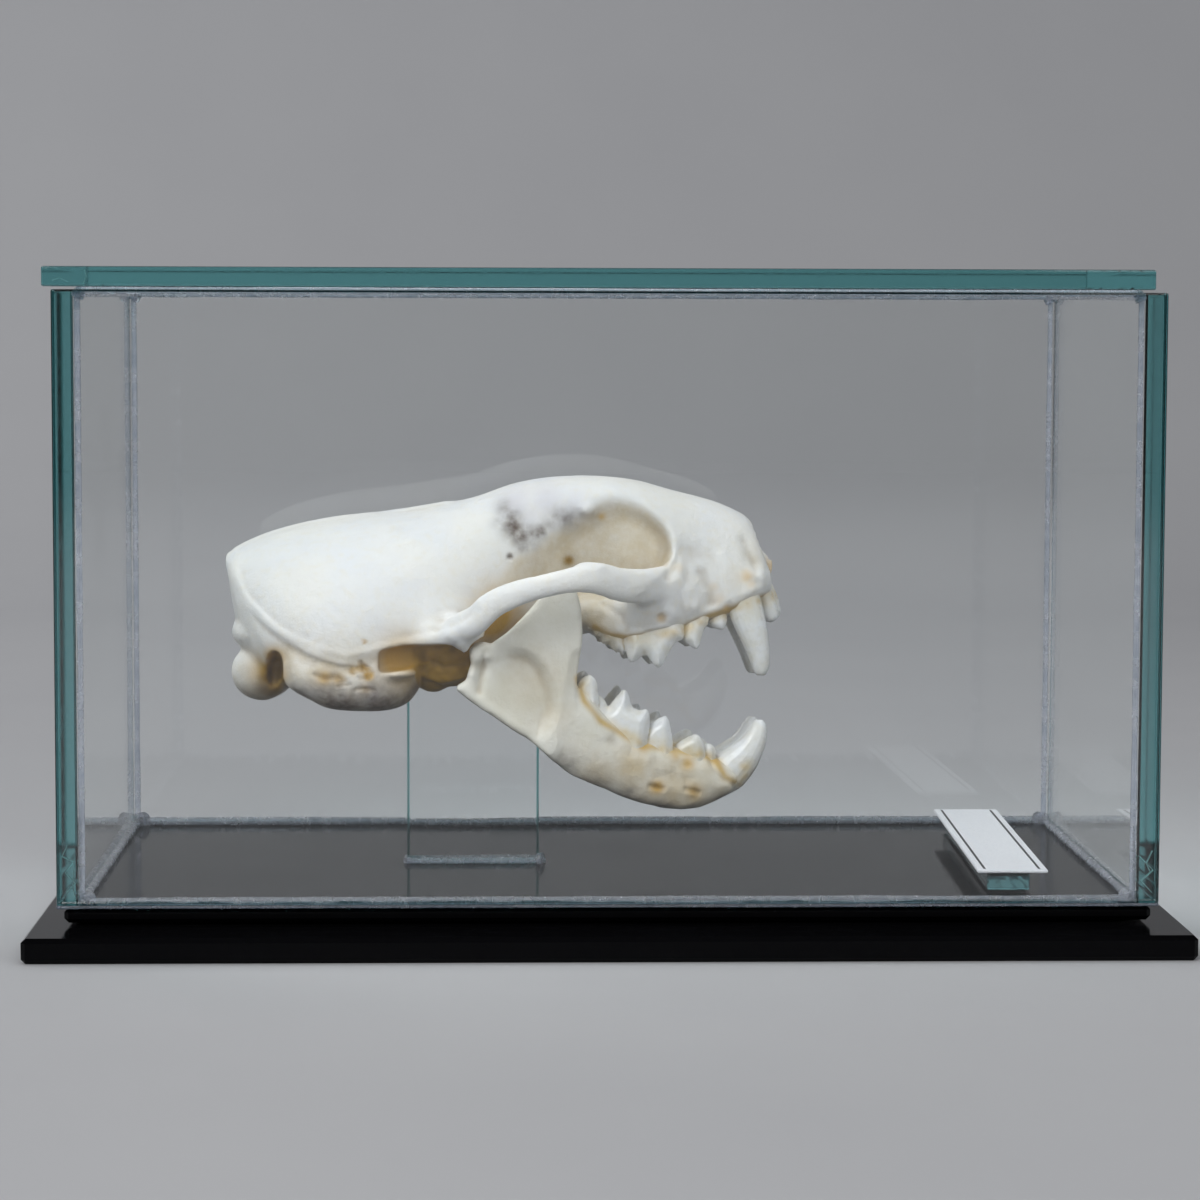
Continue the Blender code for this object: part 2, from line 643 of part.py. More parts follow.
def glass_case(finish):
    """Front and back panes run full width, the sides stand between them, the lid lies on top."""
    side, front = CASE_WIDTH / 2, CASE_DEPTH / 2
    low, high = FLOOR + GAP, FLOOR + GLASS_HEIGHT - GLASS - GAP
    inner = front - GLASS - GAP
    plate("pane_front", (-side, -front, low), (side, -front + GLASS, high), finish)
    plate("pane_back", (-side, front - GLASS, low), (side, front, high), finish)
    plate("pane_left", (-side, -inner, low), (-side + GLASS, inner, high), finish)
    plate("pane_right", (side - GLASS, -inner, low), (side, inner, high), finish)
    left = LID_SHIFT - LID_WIDTH / 2
    top = FLOOR + GLASS_HEIGHT
    plate("pane_top", (left, -front, top - GLASS), (left + LID_WIDTH, front, top), finish)


def base(finish):
    x, y, z = BOARD
    plate("base_board", (-x / 2, -y / 2, 0.0), (x / 2, y / 2, z), finish, bevel=BASE_EASE)
    x, y, _ = PLINTH
    plate("plinth", (-x / 2, -y / 2, z + GAP), (x / 2, y / 2, FLOOR), finish, bevel=BASE_EASE)


def post(finish):
    low = (POST_X - POST_WIDTH / 2, -POST_THICK / 2, FLOOR + GAP)
    high = (POST_X + POST_WIDTH / 2, POST_THICK / 2, FLOOR + POST_TOP)
    plate("post", low, high, finish)


def label(strip_finish, card_finish):
    turn = math.radians(CARD_TURN)
    level = FLOOR + GAP
    for name, size, at, finish in (
        ("label_block", STRIP, STRIP_AT, strip_finish),
        ("label_card", CARD, CARD_AT, card_finish),
    ):
        low = (at[0] - size[0] / 2, at[1] - size[1] / 2, level)
        high = (at[0] + size[0] / 2, at[1] + size[1] / 2, level + size[2])
        piece = plate(name, low, high, finish, bevel=CARD_EASE)
        piece.rotation_euler.z = turn
        level += size[2] + GAP


def skull(finish):
    pose = bpy.data.objects.new("skull_pose", None)
    pose.location = ((SKULL_BACK + PIVOT[0]) * MM, PIVOT[1] * MM, (FLOOR + PIVOT[2]) * MM)
    pose.rotation_euler = (math.radians(ROLL), 0.0, math.radians(YAW))
    bpy.context.scene.collection.objects.link(pose)
    bones = [cranium(), mandible("mandible_left", 1), mandible("mandible_right", -1)]
    for bone in bones:
        bone.data.transform(Matrix.Scale(MM, 4) @ Matrix.Translation(-Vector(PIVOT)))
        bone.data.materials.append(finish)
        bone.data.shade_smooth()
        bone.data.set_sharp_from_angle(angle=math.radians(40.0))
        bone.parent = pose


def main():
    clear_scene()
    bone = material("bone", (0.83, 0.81, 0.74), 0.45)
    glass = material("glass", (0.80, 0.92, 0.90), 0.03, transmission=1.0)
    black = material("black_gloss", (0.01, 0.01, 0.012), 0.15)
    card = material("card", (0.86, 0.87, 0.90), 0.6)
    skull(bone)
    glass_case(glass)
    base(black)
    post(glass)
    label(glass, card)


main()
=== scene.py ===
import math

import bmesh
import bpy
import numpy as np
from mathutils import Euler, Matrix, Vector, noise


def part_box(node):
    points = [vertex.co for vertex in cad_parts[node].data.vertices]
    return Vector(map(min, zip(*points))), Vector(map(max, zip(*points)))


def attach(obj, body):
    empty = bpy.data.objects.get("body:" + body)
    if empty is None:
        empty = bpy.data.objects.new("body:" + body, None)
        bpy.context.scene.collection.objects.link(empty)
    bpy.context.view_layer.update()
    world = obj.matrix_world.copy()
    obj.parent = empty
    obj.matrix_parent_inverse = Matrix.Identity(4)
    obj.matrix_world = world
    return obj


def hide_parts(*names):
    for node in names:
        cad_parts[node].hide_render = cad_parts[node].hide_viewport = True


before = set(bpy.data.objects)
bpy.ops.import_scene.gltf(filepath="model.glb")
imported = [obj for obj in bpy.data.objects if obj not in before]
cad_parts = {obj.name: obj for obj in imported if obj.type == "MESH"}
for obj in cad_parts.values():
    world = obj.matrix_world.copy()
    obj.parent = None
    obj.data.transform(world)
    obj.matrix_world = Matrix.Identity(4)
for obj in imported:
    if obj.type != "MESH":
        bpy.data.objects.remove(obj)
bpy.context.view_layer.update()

MM = 0.001
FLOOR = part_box("plinth")[1].z / MM
SKULL_BACK = -44.7
PIVOT = (33.0, 0.0, 30.0)
ROLL = -4.6
YAW = 0.3
SLACK = 0.6          # clearance of the post and the jaw heads in their seats
POST_SLOT = 9.0

# Sampling of the finished skins
VOXEL_ROUGH = 0.34
VOXEL = 0.27
VOXEL_JAW = 0.22
VOXEL_TOOTH = 0.11
MOST_FACES = 180000
RING = 40
BALL_DETAIL = 4
TOOTH_SIDES = 18
BLADE_GRID = 0.09
BLADE_SWELL = 0.86   # share of a blade's thickness that is gone at its edge
BLADE_ROUND = 1.8
BLADE_LEAST = 0.03

# Paint: smoothing passes and full depth of the painted shade in the hollows, widths of the painted lines, how
# far from the middle plane two of the regions reach, and where the jaw's bone grows rougher
BONE_HOLLOW_SHADE = (18, 0.12)
TOOTH_HOLLOW_SHADE = (14, 0.07)
GUM_WIDTH = 0.42
NECK_WIDTH = 0.8
SOCKET_WALL = 11.0
BASE_WALL = 13.0
ROUGH_FROM = 46.0
ROUGH_OVER = 4.0

# Braincase, forehead and snout: x, top, floor, half width, height of the widest line,
# fullness of the upper and of the lower half (2 is an ellipse, more is boxier)
CORE = (
    (0.5, 36.9, 34.2, 4.2, 35.6, 2.0, 2.0),
    (1.2, 37.5, 30.4, 7.6, 34.0, 2.0, 2.2),
    (2.2, 38.0, 26.0, 9.2, 32.4, 2.0, 2.2),
    (3.6, 38.6, 23.6, 10.8, 30.8, 1.95, 2.2),
    (6.0, 39.55, 21.6, 12.8, 28.9, 1.9, 2.4),
    (10.0, 40.55, 20.8, 14.5, 27.4, 1.9, 2.6),
    (14.0, 41.25, 20.8, 15.3, 27.2, 1.9, 2.6),
    (18.0, 41.75, 21.0, 15.2, 28.0, 1.9, 2.6),
    (22.0, 42.15, 21.6, 14.4, 29.2, 1.9, 2.5),
    (26.0, 42.9, 22.8, 12.9, 30.6, 1.95, 2.4),
    (30.0, 43.9, 23.6, 10.9, 32.0, 2.1, 2.2),
    (34.0, 45.3, 25.2, 8.9, 34.5, 2.2, 2.0),
    (37.5, 46.0, 26.2, 7.9, 38.0, 2.3, 1.8),
    (41.0, 46.25, 27.0, 8.7, 41.0, 2.3, 1.6),
    (45.0, 46.2, 27.6, 9.3, 40.8, 2.4, 1.8),
    (49.0, 45.7, 28.4, 10.0, 38.4, 2.3, 2.2),
    (52.0, 44.9, 29.4, 9.9, 36.2, 2.15, 2.5),
    (55.0, 44.15, 30.2, 9.0, 35.0, 2.05, 2.6),
    (58.0, 43.3, 31.0, 8.1, 34.4, 2.0, 2.6),
    (60.3, 42.4, 31.6, 7.5, 34.0, 2.0, 2.6),
    (62.2, 41.3, 32.0, 6.7, 33.6, 2.0, 2.6),
    (63.4, 39.2, 32.2, 5.8, 33.4, 2.2, 2.6),
    (64.3, 36.6, 32.4, 4.8, 33.4, 2.4, 2.6),
    (64.8, 34.8, 32.7, 3.4, 33.6, 2.4, 2.0),
)

# Palate with the tooth-bearing edge, in the same columns
PALATE = (
    (36.5, 31.0, 27.4, 3.6, 28.8, 2.0, 2.6),
    (39.0, 32.0, 28.0, 5.6, 29.8, 2.0, 2.8),
    (41.6, 33.0, 28.2, 8.0, 30.2, 2.0, 3.2),
    (43.8, 33.6, 27.2, 9.4, 30.2, 2.0, 5.0),
    (46.0, 34.0, 26.6, 10.4, 30.2, 2.0, 6.0),
    (48.5, 35.0, 26.8, 10.9, 30.2, 2.0, 6.0),
    (51.5, 36.0, 27.3, 10.7, 30.8, 2.0, 5.6),
    (54.5, 37.0, 28.2, 9.5, 32.2, 2.0, 5.0),
    (57.5, 37.0, 28.8, 8.4, 33.0, 2.0, 4.4),
    (60.5, 37.0, 29.9, 8.0, 33.6, 2.0, 4.0),
    (63.0, 36.5, 31.4, 7.6, 34.0, 2.0, 3.6),
    (64.7, 34.8, 32.1, 4.6, 33.6, 2.0, 3.0),
)

# Swept ridges and bars: x, y, z, height and thickness
SAGITTAL_CREST = (
    (0.9, 0.0, 36.7, 1.8, 1.8),
    (5.5, 0.0, 39.0, 1.5, 2.0),
    (12.4, 0.0, 40.7, 1.3, 2.2),
    (20.0, 0.0, 41.7, 1.1, 2.4),
    (27.0, 0.0, 42.9, 1.0, 2.6),
)
LAMBDOID_CREST = (
    (0.75, 0.8, 36.6, 1.7, 1.4),
    (1.0, 4.2, 35.5, 1.6, 1.3),
    (1.9, 7.6, 33.0, 1.4, 1.0),
    (3.9, 10.5, 30.3, 1.2, 1.0),
    (7.4, 12.5, 27.7, 1.2, 1.0),
    (11.4, 13.9, 26.0, 1.4, 1.2),
    (15.2, 14.4, 25.0, 1.6, 1.4),
)
SQUAMOSAL_SHELF = (
    (14.8, 14.2, 25.2, 1.8, 1.8),
    (18.6, 13.9, 26.7, 1.5, 1.8),
    (22.6, 13.6, 27.2, 3.0, 2.0),
    (26.6, 14.4, 27.3, 3.4, 2.5),
)
ARCH = (
    (22.5, 12.4, 28.2, 3.4, 3.0),
    (25.6, 14.0, 27.3, 3.4, 3.2),
    (28.0, 16.2, 28.2, 3.8, 3.2),
    (29.8, 17.9, 29.3, 3.6, 2.6),
    (31.4, 18.8, 30.8, 3.3, 2.2),
    (34.0, 19.4, 32.1, 3.1, 2.0),
    (37.6, 19.5, 33.1, 2.8, 1.9),
    (41.0, 19.0, 33.8, 3.1, 2.0),
    (43.6, 17.8, 33.9, 3.8, 2.2),
    (46.4, 15.6, 33.2, 4.0, 2.6),
    (49.2, 12.8, 33.0, 4.2, 3.0),
    (51.8, 10.0, 33.2, 4.6, 3.0),
    (53.6, 8.2, 33.4, 4.0, 2.6),
)
PTERYGOID = (
    (39.0, 5.0, 27.4, 3.4, 1.6),
    (35.0, 4.6, 26.0, 3.6, 1.3),
    (31.0, 4.2, 24.2, 3.4, 1.1),
    (28.0, 4.0, 22.7, 2.4, 1.0),
    (26.0, 3.9, 21.7, 1.2, 0.9),
)
CANINE_RIDGE = (
    (56.6, 5.6, 38.4, 2.6, 2.6),
    (59.2, 6.3, 35.2, 3.8, 3.4),
    (61.8, 6.5, 31.9, 3.6, 3.6),
)
EYE_CORNER = (
    (40.6, 5.6, 42.8, 2.6, 3.4),
    (42.2, 7.8, 42.3, 2.0, 2.6),
    (43.0, 9.3, 41.8, 1.1, 1.5),
)

# Ear capsule with the mastoid wall above it: x, y, z, half width, half height
EAR_CAPSULE = (
    (7.4, 11.4, 24.2, 1.2, 1.6),
    (8.6, 11.2, 23.9, 2.9, 2.9),
    (10.6, 10.9, 23.4, 4.0, 3.5),
    (12.8, 10.5, 22.8, 4.6, 3.95),
    (16.4, 9.9, 22.4, 4.9, 3.85),
    (19.6, 9.2, 22.4, 4.8, 3.75),
    (21.8, 8.6, 22.6, 3.9, 3.1),
    (23.2, 8.2, 22.9, 2.0, 1.7),
)

# Rounded masses: centre, half sizes and any turns about x, y and z in degrees
MASSES = (
    ((4.6, 5.2, 23.05), (3.6, 2.9, 3.4), (0.0, 0.0, 14.0)),     # occipital condyle
    ((4.8, 3.2, 21.4), (2.6, 3.0, 1.6)),                        # its inner end
    ((3.9, 4.8, 27.8), (2.8, 4.6, 2.2)),                        # swelling over the spinal opening
    ((20.4, 12.1, 22.95), (2.5, 2.8, 0.7), (0.0, -3.0, -6.0)),  # lip under the ear opening
    ((12.8, 11.9, 24.9), (4.4, 2.8, 2.6), (0.0, 0.0, -20.0)),   # mastoid
    ((9.2, 12.2, 23.4), (1.6, 1.6, 2.4), (0.0, 20.0, 0.0)),     # its lower point
    ((26.2, 5.8, 24.4), (5.4, 4.4, 3.1), (0.0, 4.0, 0.0)),      # base of the braincase
    ((26.0, 0.0, 24.4), (6.0, 5.0, 2.9), (0.0, 5.0, 0.0)),
    ((24.6, 5.2, 22.5), (2.2, 2.6, 1.9), (0.0, 6.0, 0.0)),
    ((28.0, 13.2, 27.5), (2.8, 4.4, 1.7), (0.0, 0.0, 8.0)),     # roof of the jaw joint
    ((28.6, 14.3, 26.4), (0.7, 2.8, 1.2), (0.0, 0.0, 6.0)),     # ridge behind the jaw joint
    ((24.6, 12.0, 28.4), (4.4, 1.9, 1.7), (0.0, -8.0, 18.0)),   # root of the cheek bar
    ((42.6, 18.2, 35.0), (2.0, 0.8, 0.9)),                      # corner on the cheek bar
    ((53.0, 9.6, 35.2), (1.1, 1.1, 1.8)),                       # corner of the eye opening
    ((49.6, 10.3, 31.4), (2.6, 1.6, 3.2), (0.0, 0.0, -12.0)),   # cheek below the bar's root
    ((51.6, 9.8, 31.4), (2.5, 1.6, 3.2), (0.0, 0.0, -20.0)),
    ((54.0, 8.4, 31.8), (2.4, 1.6, 3.0), (0.0, 0.0, -16.0)),
)

# Openings in the middle plane and in pairs: centre, half sizes and any turns about x, y and z in degrees
MIDDLE_OPENINGS = (
    ((0.6, 0.0, 24.6), (4.8, 4.0, 3.3)),                        # spinal opening
    ((50.0, 0.0, 26.6), (13.0, 6.0, 2.9), (0.0, -13.0, 0.0)),   # roof of the mouth
    ((36.0, 0.0, 27.0), (5.0, 3.0, 2.4), (0.0, -22.0, 0.0)),    # throat end of the nose passage
)
PAIRED_OPENINGS = (
    ((6.3, 11.5, 22.8), (1.2, 4.9, 2.9), (0.0, 8.0, 0.0)),      # notch beside the condyle
    ((51.5, 9.35, 34.0), (2.3, 0.6, 1.0), (0.0, 4.0, 0.0)),     # cheek opening before the eye
    ((40.6, 8.4, 36.1), (0.42, 2.4, 0.36)),                     # small openings in the socket wall
    ((33.7, 9.4, 36.5), (0.26, 1.0, 0.24)),
    ((44.4, 9.0, 41.2), (0.3, 1.6, 0.2)),
    ((60.6, 1.5, 30.9), (1.9, 0.75, 1.6), (0.0, -16.0, 4.0)),   # slots behind the front teeth
    ((49.6, 3.4, 29.3), (0.55, 0.4, 1.4)),                      # openings in the palate
    ((23.6, 4.6, 20.4), (1.1, 0.7, 1.1), (0.0, 0.0, 20.0)),     # openings under the braincase
    ((9.6, 6.4, 20.0), (1.2, 0.9, 1.2), (0.0, 0.0, 30.0)),
)
# Nose opening and ear opening as tapering tubes: x, y, z, half width, half height
NOSE_OPENING = (
    (50.0, 0.0, 36.4, 1.2, 1.6),
    (54.0, 0.0, 36.8, 2.4, 3.0),
    (58.0, 0.0, 36.9, 3.0, 3.6),
    (61.0, 0.0, 36.9, 3.5, 3.7),
    (63.0, 0.0, 36.9, 3.9, 3.5),
    (65.0, 0.0, 37.4, 4.1, 3.5),
    (68.0, 0.0, 39.0, 4.3, 4.0),
)
EAR_OPENING = (
    (18.5, 16.0, 24.2, 2.8, 0.9),
    (18.8, 16.0, 24.4, 3.4, 1.3),
    (21.0, 16.0, 24.75, 4.4, 1.45),
    (22.6, 16.0, 25.0, 5.0, 1.35),
    (23.8, 16.2, 25.2, 6.0, 1.15),
    (26.0, 16.6, 25.25, 6.0, 1.15),
    (27.4, 17.0, 25.2, 6.0, 1.0),
)
# Thin bones inside the nose
NOSE_PLATE = (
    (55.0, 0.0, 36.0, 6.6, 0.6),
    (60.0, 0.0, 36.0, 6.0, 0.6),
    (62.6, 0.0, 35.7, 4.6, 0.7),
    (64.2, 0.0, 35.3, 3.0, 0.8),
    (65.1, 0.0, 35.2, 1.8, 0.7),
)
NOSE_SCROLLS = (
    ((53.0, 1.9, 38.4, 0.6, 1.6), (57.0, 2.3, 38.3, 0.7, 1.7), (60.2, 2.0, 38.0, 0.5, 0.9)),
    ((53.0, 1.7, 36.8, 1.2, 0.9), (57.6, 2.0, 36.8, 1.5, 1.1), (61.2, 1.6, 36.4, 0.9, 0.7)),
    ((53.0, 2.1, 35.0, 0.6, 1.7), (57.0, 2.3, 34.9, 0.7, 1.8), (60.4, 1.9, 34.7, 0.5, 1.0)),
)

# Regions in the side view: x, z and the width over which the edge fades; depths go by x
EYE_SOCKET = (
    (52.7, 37.2, 0.9), (52.5, 39.5, 1.4), (50.8, 42.0, 2.4), (48.0, 43.9, 3.2), (45.2, 44.2, 3.4),
    (42.6, 43.2, 3.4), (40.0, 41.4, 3.4), (36.4, 39.0, 3.6), (33.2, 35.2, 4.0), (35.0, 31.0, 4.0),
    (42.0, 30.4, 3.0), (48.0, 31.8, 2.4), (51.6, 34.6, 1.0),
)
EYE_SOCKET_DEPTH = ((33.0, 0.3), (36.0, 0.6), (39.0, 0.9), (42.0, 1.3), (45.0, 1.8), (50.0, 2.6), (53.0, 3.0))
SOCKET_TINT = (
    (52.9, 36.9, 0.6), (52.5, 39.2, 0.9), (50.6, 42.0, 1.5), (47.9, 43.6, 1.9), (44.8, 43.7, 2.1),
    (42.0, 42.2, 2.0), (38.6, 40.1, 1.8), (36.0, 37.9, 1.5), (33.2, 36.4, 1.6), (32.0, 33.0, 2.0),
    (38.0, 30.0, 2.0), (48.0, 31.0, 1.4), (51.8, 34.2, 0.8),
)
UNDERSIDE = (
    (21.9, 26.4, 0.7), (30.2, 26.8, 1.0), (31.4, 24.0, 1.4), (29.6, 20.6, 1.4), (24.6, 19.6, 1.4),
    (22.9, 21.2, 0.7), (22.2, 23.4, 0.6),
)
BLENDED = (
    (1.6, 35.6, 0.9), (2.6, 32.6, 0.5), (4.4, 30.5, 0.4), (7.4, 27.9, 0.4), (11.4, 26.1, 0.4),
    (15.2, 25.2, 0.5), (19.0, 26.1, 0.6), (23.0, 26.8, 0.9), (27.6, 28.0, 1.0), (30.0, 29.8, 1.2),
    (29.4, 32.8, 2.0), (22.0, 34.6, 2.6), (14.0, 34.8, 3.4), (7.0, 36.6, 3.0),
)
CHEEK = (
    (47.0, 27.5, 0.4), (46.9, 30.6, 0.8), (49.0, 33.0, 1.0), (51.2, 34.6, 0.6), (52.6, 36.2, 0.5),
    (53.6, 38.2, 1.0), (56.6, 38.2, 2.0), (59.4, 35.6, 2.0), (59.4, 31.6, 1.0), (57.0, 30.2, 0.5),
    (53.8, 28.7, 0.4), (50.4, 28.0, 0.4),
)
JAW_CORNER = (
    (37.2, 11.4, 1.2), (38.8, 15.0, 1.4), (39.8, 22.0, 0.9), (41.0, 26.0, 0.8), (43.4, 23.0, 0.8),
    (44.6, 18.4, 0.9), (48.0, 14.4, 2.0), (49.0, 8.4, 1.4), (44.0, 7.6, 1.0), (39.4, 9.6, 1.0),
)
UNDER_EDGE = (
    (3.2, 30.6, 0.6), (6.0, 28.4, 0.6), (8.8, 26.5, 0.6), (11.5, 25.1, 0.6), (14.3, 24.2, 0.5),
    (17.2, 23.9, 0.5), (17.6, 22.4, 2.0), (13.0, 21.6, 3.0), (8.0, 23.0, 3.0), (4.6, 26.6, 2.4),
)
UNDER_EDGE_DEPTH = ((3.0, 0.35), (9.0, 0.5), (14.0, 0.55), (18.0, 0.4))

# Grooves (negative depth is a ridge) along paths in the side view: path, reach, depth and least
# distance from the middle plane
GROOVES = (
    (((11.2, 22.9), (12.4, 22.5), (13.6, 22.6), (14.8, 22.2)), 0.24, 0.4, 11.0),
    (((13.0, 22.9), (14.2, 22.9)), 0.18, 0.2, 11.0),
    (((15.9, 21.2), (16.9, 21.3), (18.1, 21.1)), 0.18, 0.25, 10.0),
    (((13.9, 21.6), (15.2, 21.7)), 0.16, 0.3, 10.5),
    (((16.5, 24.2), (16.8, 23.4)), 0.28, 0.45, 12.0),
    (((17.6, 23.2), (17.4, 22.6)), 0.28, 0.4, 12.0),
    (((15.3, 23.5), (16.1, 22.7), (17.0, 22.4)), 0.16, 0.35, 12.0),
    (((7.6, 21.2), (8.1, 22.9), (8.0, 24.6)), 0.5, 0.1, 8.0),
    (((49.4, 27.7), (51.6, 28.0), (53.2, 28.1)), 0.2, 0.22, 8.0),
    (((24.0, 24.6), (26.0, 23.6), (28.4, 24.0)), 0.4, 0.4, 5.0),
    (((23.6, 22.8), (25.6, 22.0), (28.2, 22.6)), 0.35, -0.3, 5.0),
    (((24.6, 21.9), (25.4, 21.5)), 0.3, 0.4, 4.0),
    (((52.0, 34.2), (52.6, 35.2)), 0.6, 0.2, 8.0),
    (((52.2, 33.6), (51.7, 32.2), (51.5, 30.8)), 0.8, 0.08, 8.0),
    (((53.2, 33.7), (54.2, 32.2), (54.8, 30.8)), 0.7, -0.2, 7.0),
    (((56.2, 34.6), (57.0, 32.6), (57.2, 31.2)), 0.8, 0.3, 5.5),
    (((58.6, 36.6), (59.2, 33.6), (59.8, 31.0)), 0.9, -0.25, 5.0),
    (((61.4, 38.4), (62.6, 35.8), (63.0, 33.6)), 0.7, 0.3, 4.0),
    (((44.6, 31.0), (46.6, 29.6), (47.3, 27.6)), 0.5, 0.25, 9.0),
    (((25.0, 28.4), (25.6, 29.2)), 0.8, 0.25, 12.0),
    (((30.4, 43.4), (35.0, 43.0), (40.6, 42.9)), 0.9, -0.12, 4.0),
)

# Shallow carving seen from the side: x, z, reach along x and along z, depth (negative is raised)
# and the least distance from the middle plane
CARVING = (
    (16.9, 26.7, 0.14, 0.14, 0.2, 12.0),
    (17.3, 23.5, 0.4, 0.4, 0.5, 12.0),
    (54.8, 36.8, 2.4, 1.6, 0.3, 5.0),
    (51.3, 29.4, 0.6, 0.6, 0.35, 7.0),
    (52.6, 29.6, 0.9, 0.9, -0.15, 7.0),
    (55.3, 30.4, 0.6, 1.2, -0.2, 6.0),
    (59.3, 30.7, 0.5, 0.6, 0.25, 5.0),
    (61.9, 33.6, 0.7, 0.8, 0.12, 4.0),
    (34.3, 39.6, 0.8, 1.6, 0.16, 5.0),
    (37.2, 39.4, 0.6, 0.6, 0.14, 5.0),
    (35.6, 38.0, 0.9, 0.6, 0.12, 5.0),
    (33.7, 36.5, 0.25, 0.3, 0.25, 5.0),
    (47.6, 36.6, 2.0, 1.4, -0.25, 4.0),
)

# Teeth. Blades and premolars by their outline in the side view (x, z): greatest thickness, distance
# from the edge at which it is reached, height of the gum and tip and how far out each of those lies
UPPER_BLADES = (
    (((46.8, 28.6), (46.9, 26.7), (47.2, 25.2), (47.5, 24.4), (48.0, 24.2), (48.7, 24.6), (49.3, 25.0),
      (49.8, 24.7), (50.3, 24.0), (50.8, 23.6), (51.2, 23.6), (51.7, 24.3), (52.3, 25.4), (52.9, 26.3),
      (53.5, 26.7), (54.0, 27.1), (54.0, 28.6), (53.0, 30.2), (48.0, 30.0)),
     2.8, 1.5, (28.0, 8.55), (24.0, 9.6)),
    (((53.8, 30.4), (53.7, 28.2), (53.9, 26.7), (54.7, 26.1), (55.3, 25.7), (55.8, 25.9), (56.2, 27.2),
      (56.6, 28.2), (57.0, 28.8), (56.9, 30.6)), 2.1, 1.2, (28.6, 7.4), (26.0, 8.0)),
    (((57.0, 30.8), (57.0, 29.2), (57.3, 28.4), (58.1, 28.0), (58.7, 27.9), (59.1, 28.4), (59.3, 29.4),
      (59.1, 30.8)), 1.6, 0.8, (29.6, 6.1), (28.0, 6.4)),
    (((42.7, 29.8), (42.8, 28.1), (43.3, 27.9), (43.7, 27.2), (44.2, 27.0), (44.5, 26.3), (45.2, 26.2),
      (45.8, 25.5), (46.5, 25.3), (46.9, 24.9), (47.3, 26.0), (47.2, 29.4)),
     3.2, 1.3, (28.4, 7.5), (25.4, 8.2)),
)
LOWER_BLADES = (
    (((41.3, 18.6), (41.35, 21.0), (41.7, 22.0), (42.3, 22.6), (43.0, 22.8), (43.6, 22.3), (43.9, 21.3),
      (44.0, 19.4), (43.4, 17.6), (42.2, 18.0)), 2.0, 0.9, (19.6, 10.8), (22.4, 10.6)),
    (((43.0, 17.4), (43.2, 19.8), (43.7, 20.35), (44.3, 20.3), (44.8, 19.7), (45.1, 19.1), (45.6, 19.7),
      (46.2, 20.4), (46.8, 21.05), (47.3, 20.95), (47.65, 20.1), (47.85, 19.2), (48.2, 18.9), (48.8, 18.7),
      (49.5, 18.8), (49.85, 18.4), (50.0, 17.4), (49.9, 16.2), (49.6, 14.6), (49.0, 13.0), (46.0, 13.6),
      (44.0, 15.0)), 2.6, 1.5, (16.0, 9.9), (20.8, 9.5)),
    (((48.5, 12.4), (48.5, 14.9), (48.9, 16.0), (49.6, 16.7), (50.4, 17.3), (51.3, 17.8), (51.95, 17.95),
      (52.35, 17.2), (52.6, 16.0), (52.75, 14.3), (52.5, 12.2)), 2.1, 1.3, (14.2, 8.9), (17.2, 8.7)),
    (((52.7, 12.0), (52.9, 14.1), (53.4, 14.8), (54.2, 15.3), (55.0, 15.7), (55.7, 15.7), (56.2, 15.2),
      (56.5, 14.3), (56.6, 12.6), (56.0, 11.6)), 1.8, 1.0, (13.6, 7.8), (15.4, 7.8)),
    (((56.2, 11.4), (56.3, 13.9), (56.6, 14.6), (57.1, 14.7), (57.7, 14.3), (57.95, 13.4), (57.6, 11.6)),
     1.5, 0.7, (13.0, 6.8), (14.4, 6.9)),
)
# Single cusps and front teeth: root, tip, length along the jaw and width across it
UPPER_TEETH = (
    ((52.0, 7.0, 29.8), (52.3, 6.9, 27.2), 2.3, 2.4),
    ((45.2, 5.2, 29.2), (45.2, 5.0, 26.6), 2.8, 2.4),
)
LOWER_TEETH = (
    ((46.2, 8.7, 15.0), (46.6, 8.5, 19.2), 1.9, 1.5),
)
UPPER_FRONT = (
    ((64.6, 0.75, 33.4), (65.75, 0.7, 29.6), 1.25, 1.35),
    ((64.2, 2.15, 33.4), (65.45, 2.1, 29.3), 1.45, 1.45),
    ((63.2, 3.75, 33.4), (64.85, 3.75, 28.9), 2.2, 1.8),
)
LOWER_FRONT = (
    ((60.7, 0.78, 10.2), (61.8, 0.75, 12.3), 0.85, 0.95),
    ((60.5, 1.75, 10.2), (61.6, 1.7, 12.5), 0.95, 1.05),
    ((60.1, 2.8, 10.4), (61.2, 2.8, 12.8), 1.1, 1.15),
)
FRONT_PROFILE = ((0.0, 0.7), (0.3, 0.9), (0.6, 1.0), (0.84, 0.92), (0.95, 0.68), (1.0, 0.3))
CUSP_PROFILE = ((0.0, 0.8), (0.25, 0.98), (0.5, 0.9), (0.7, 0.7), (0.87, 0.46), (0.97, 0.26), (1.0, 0.1))
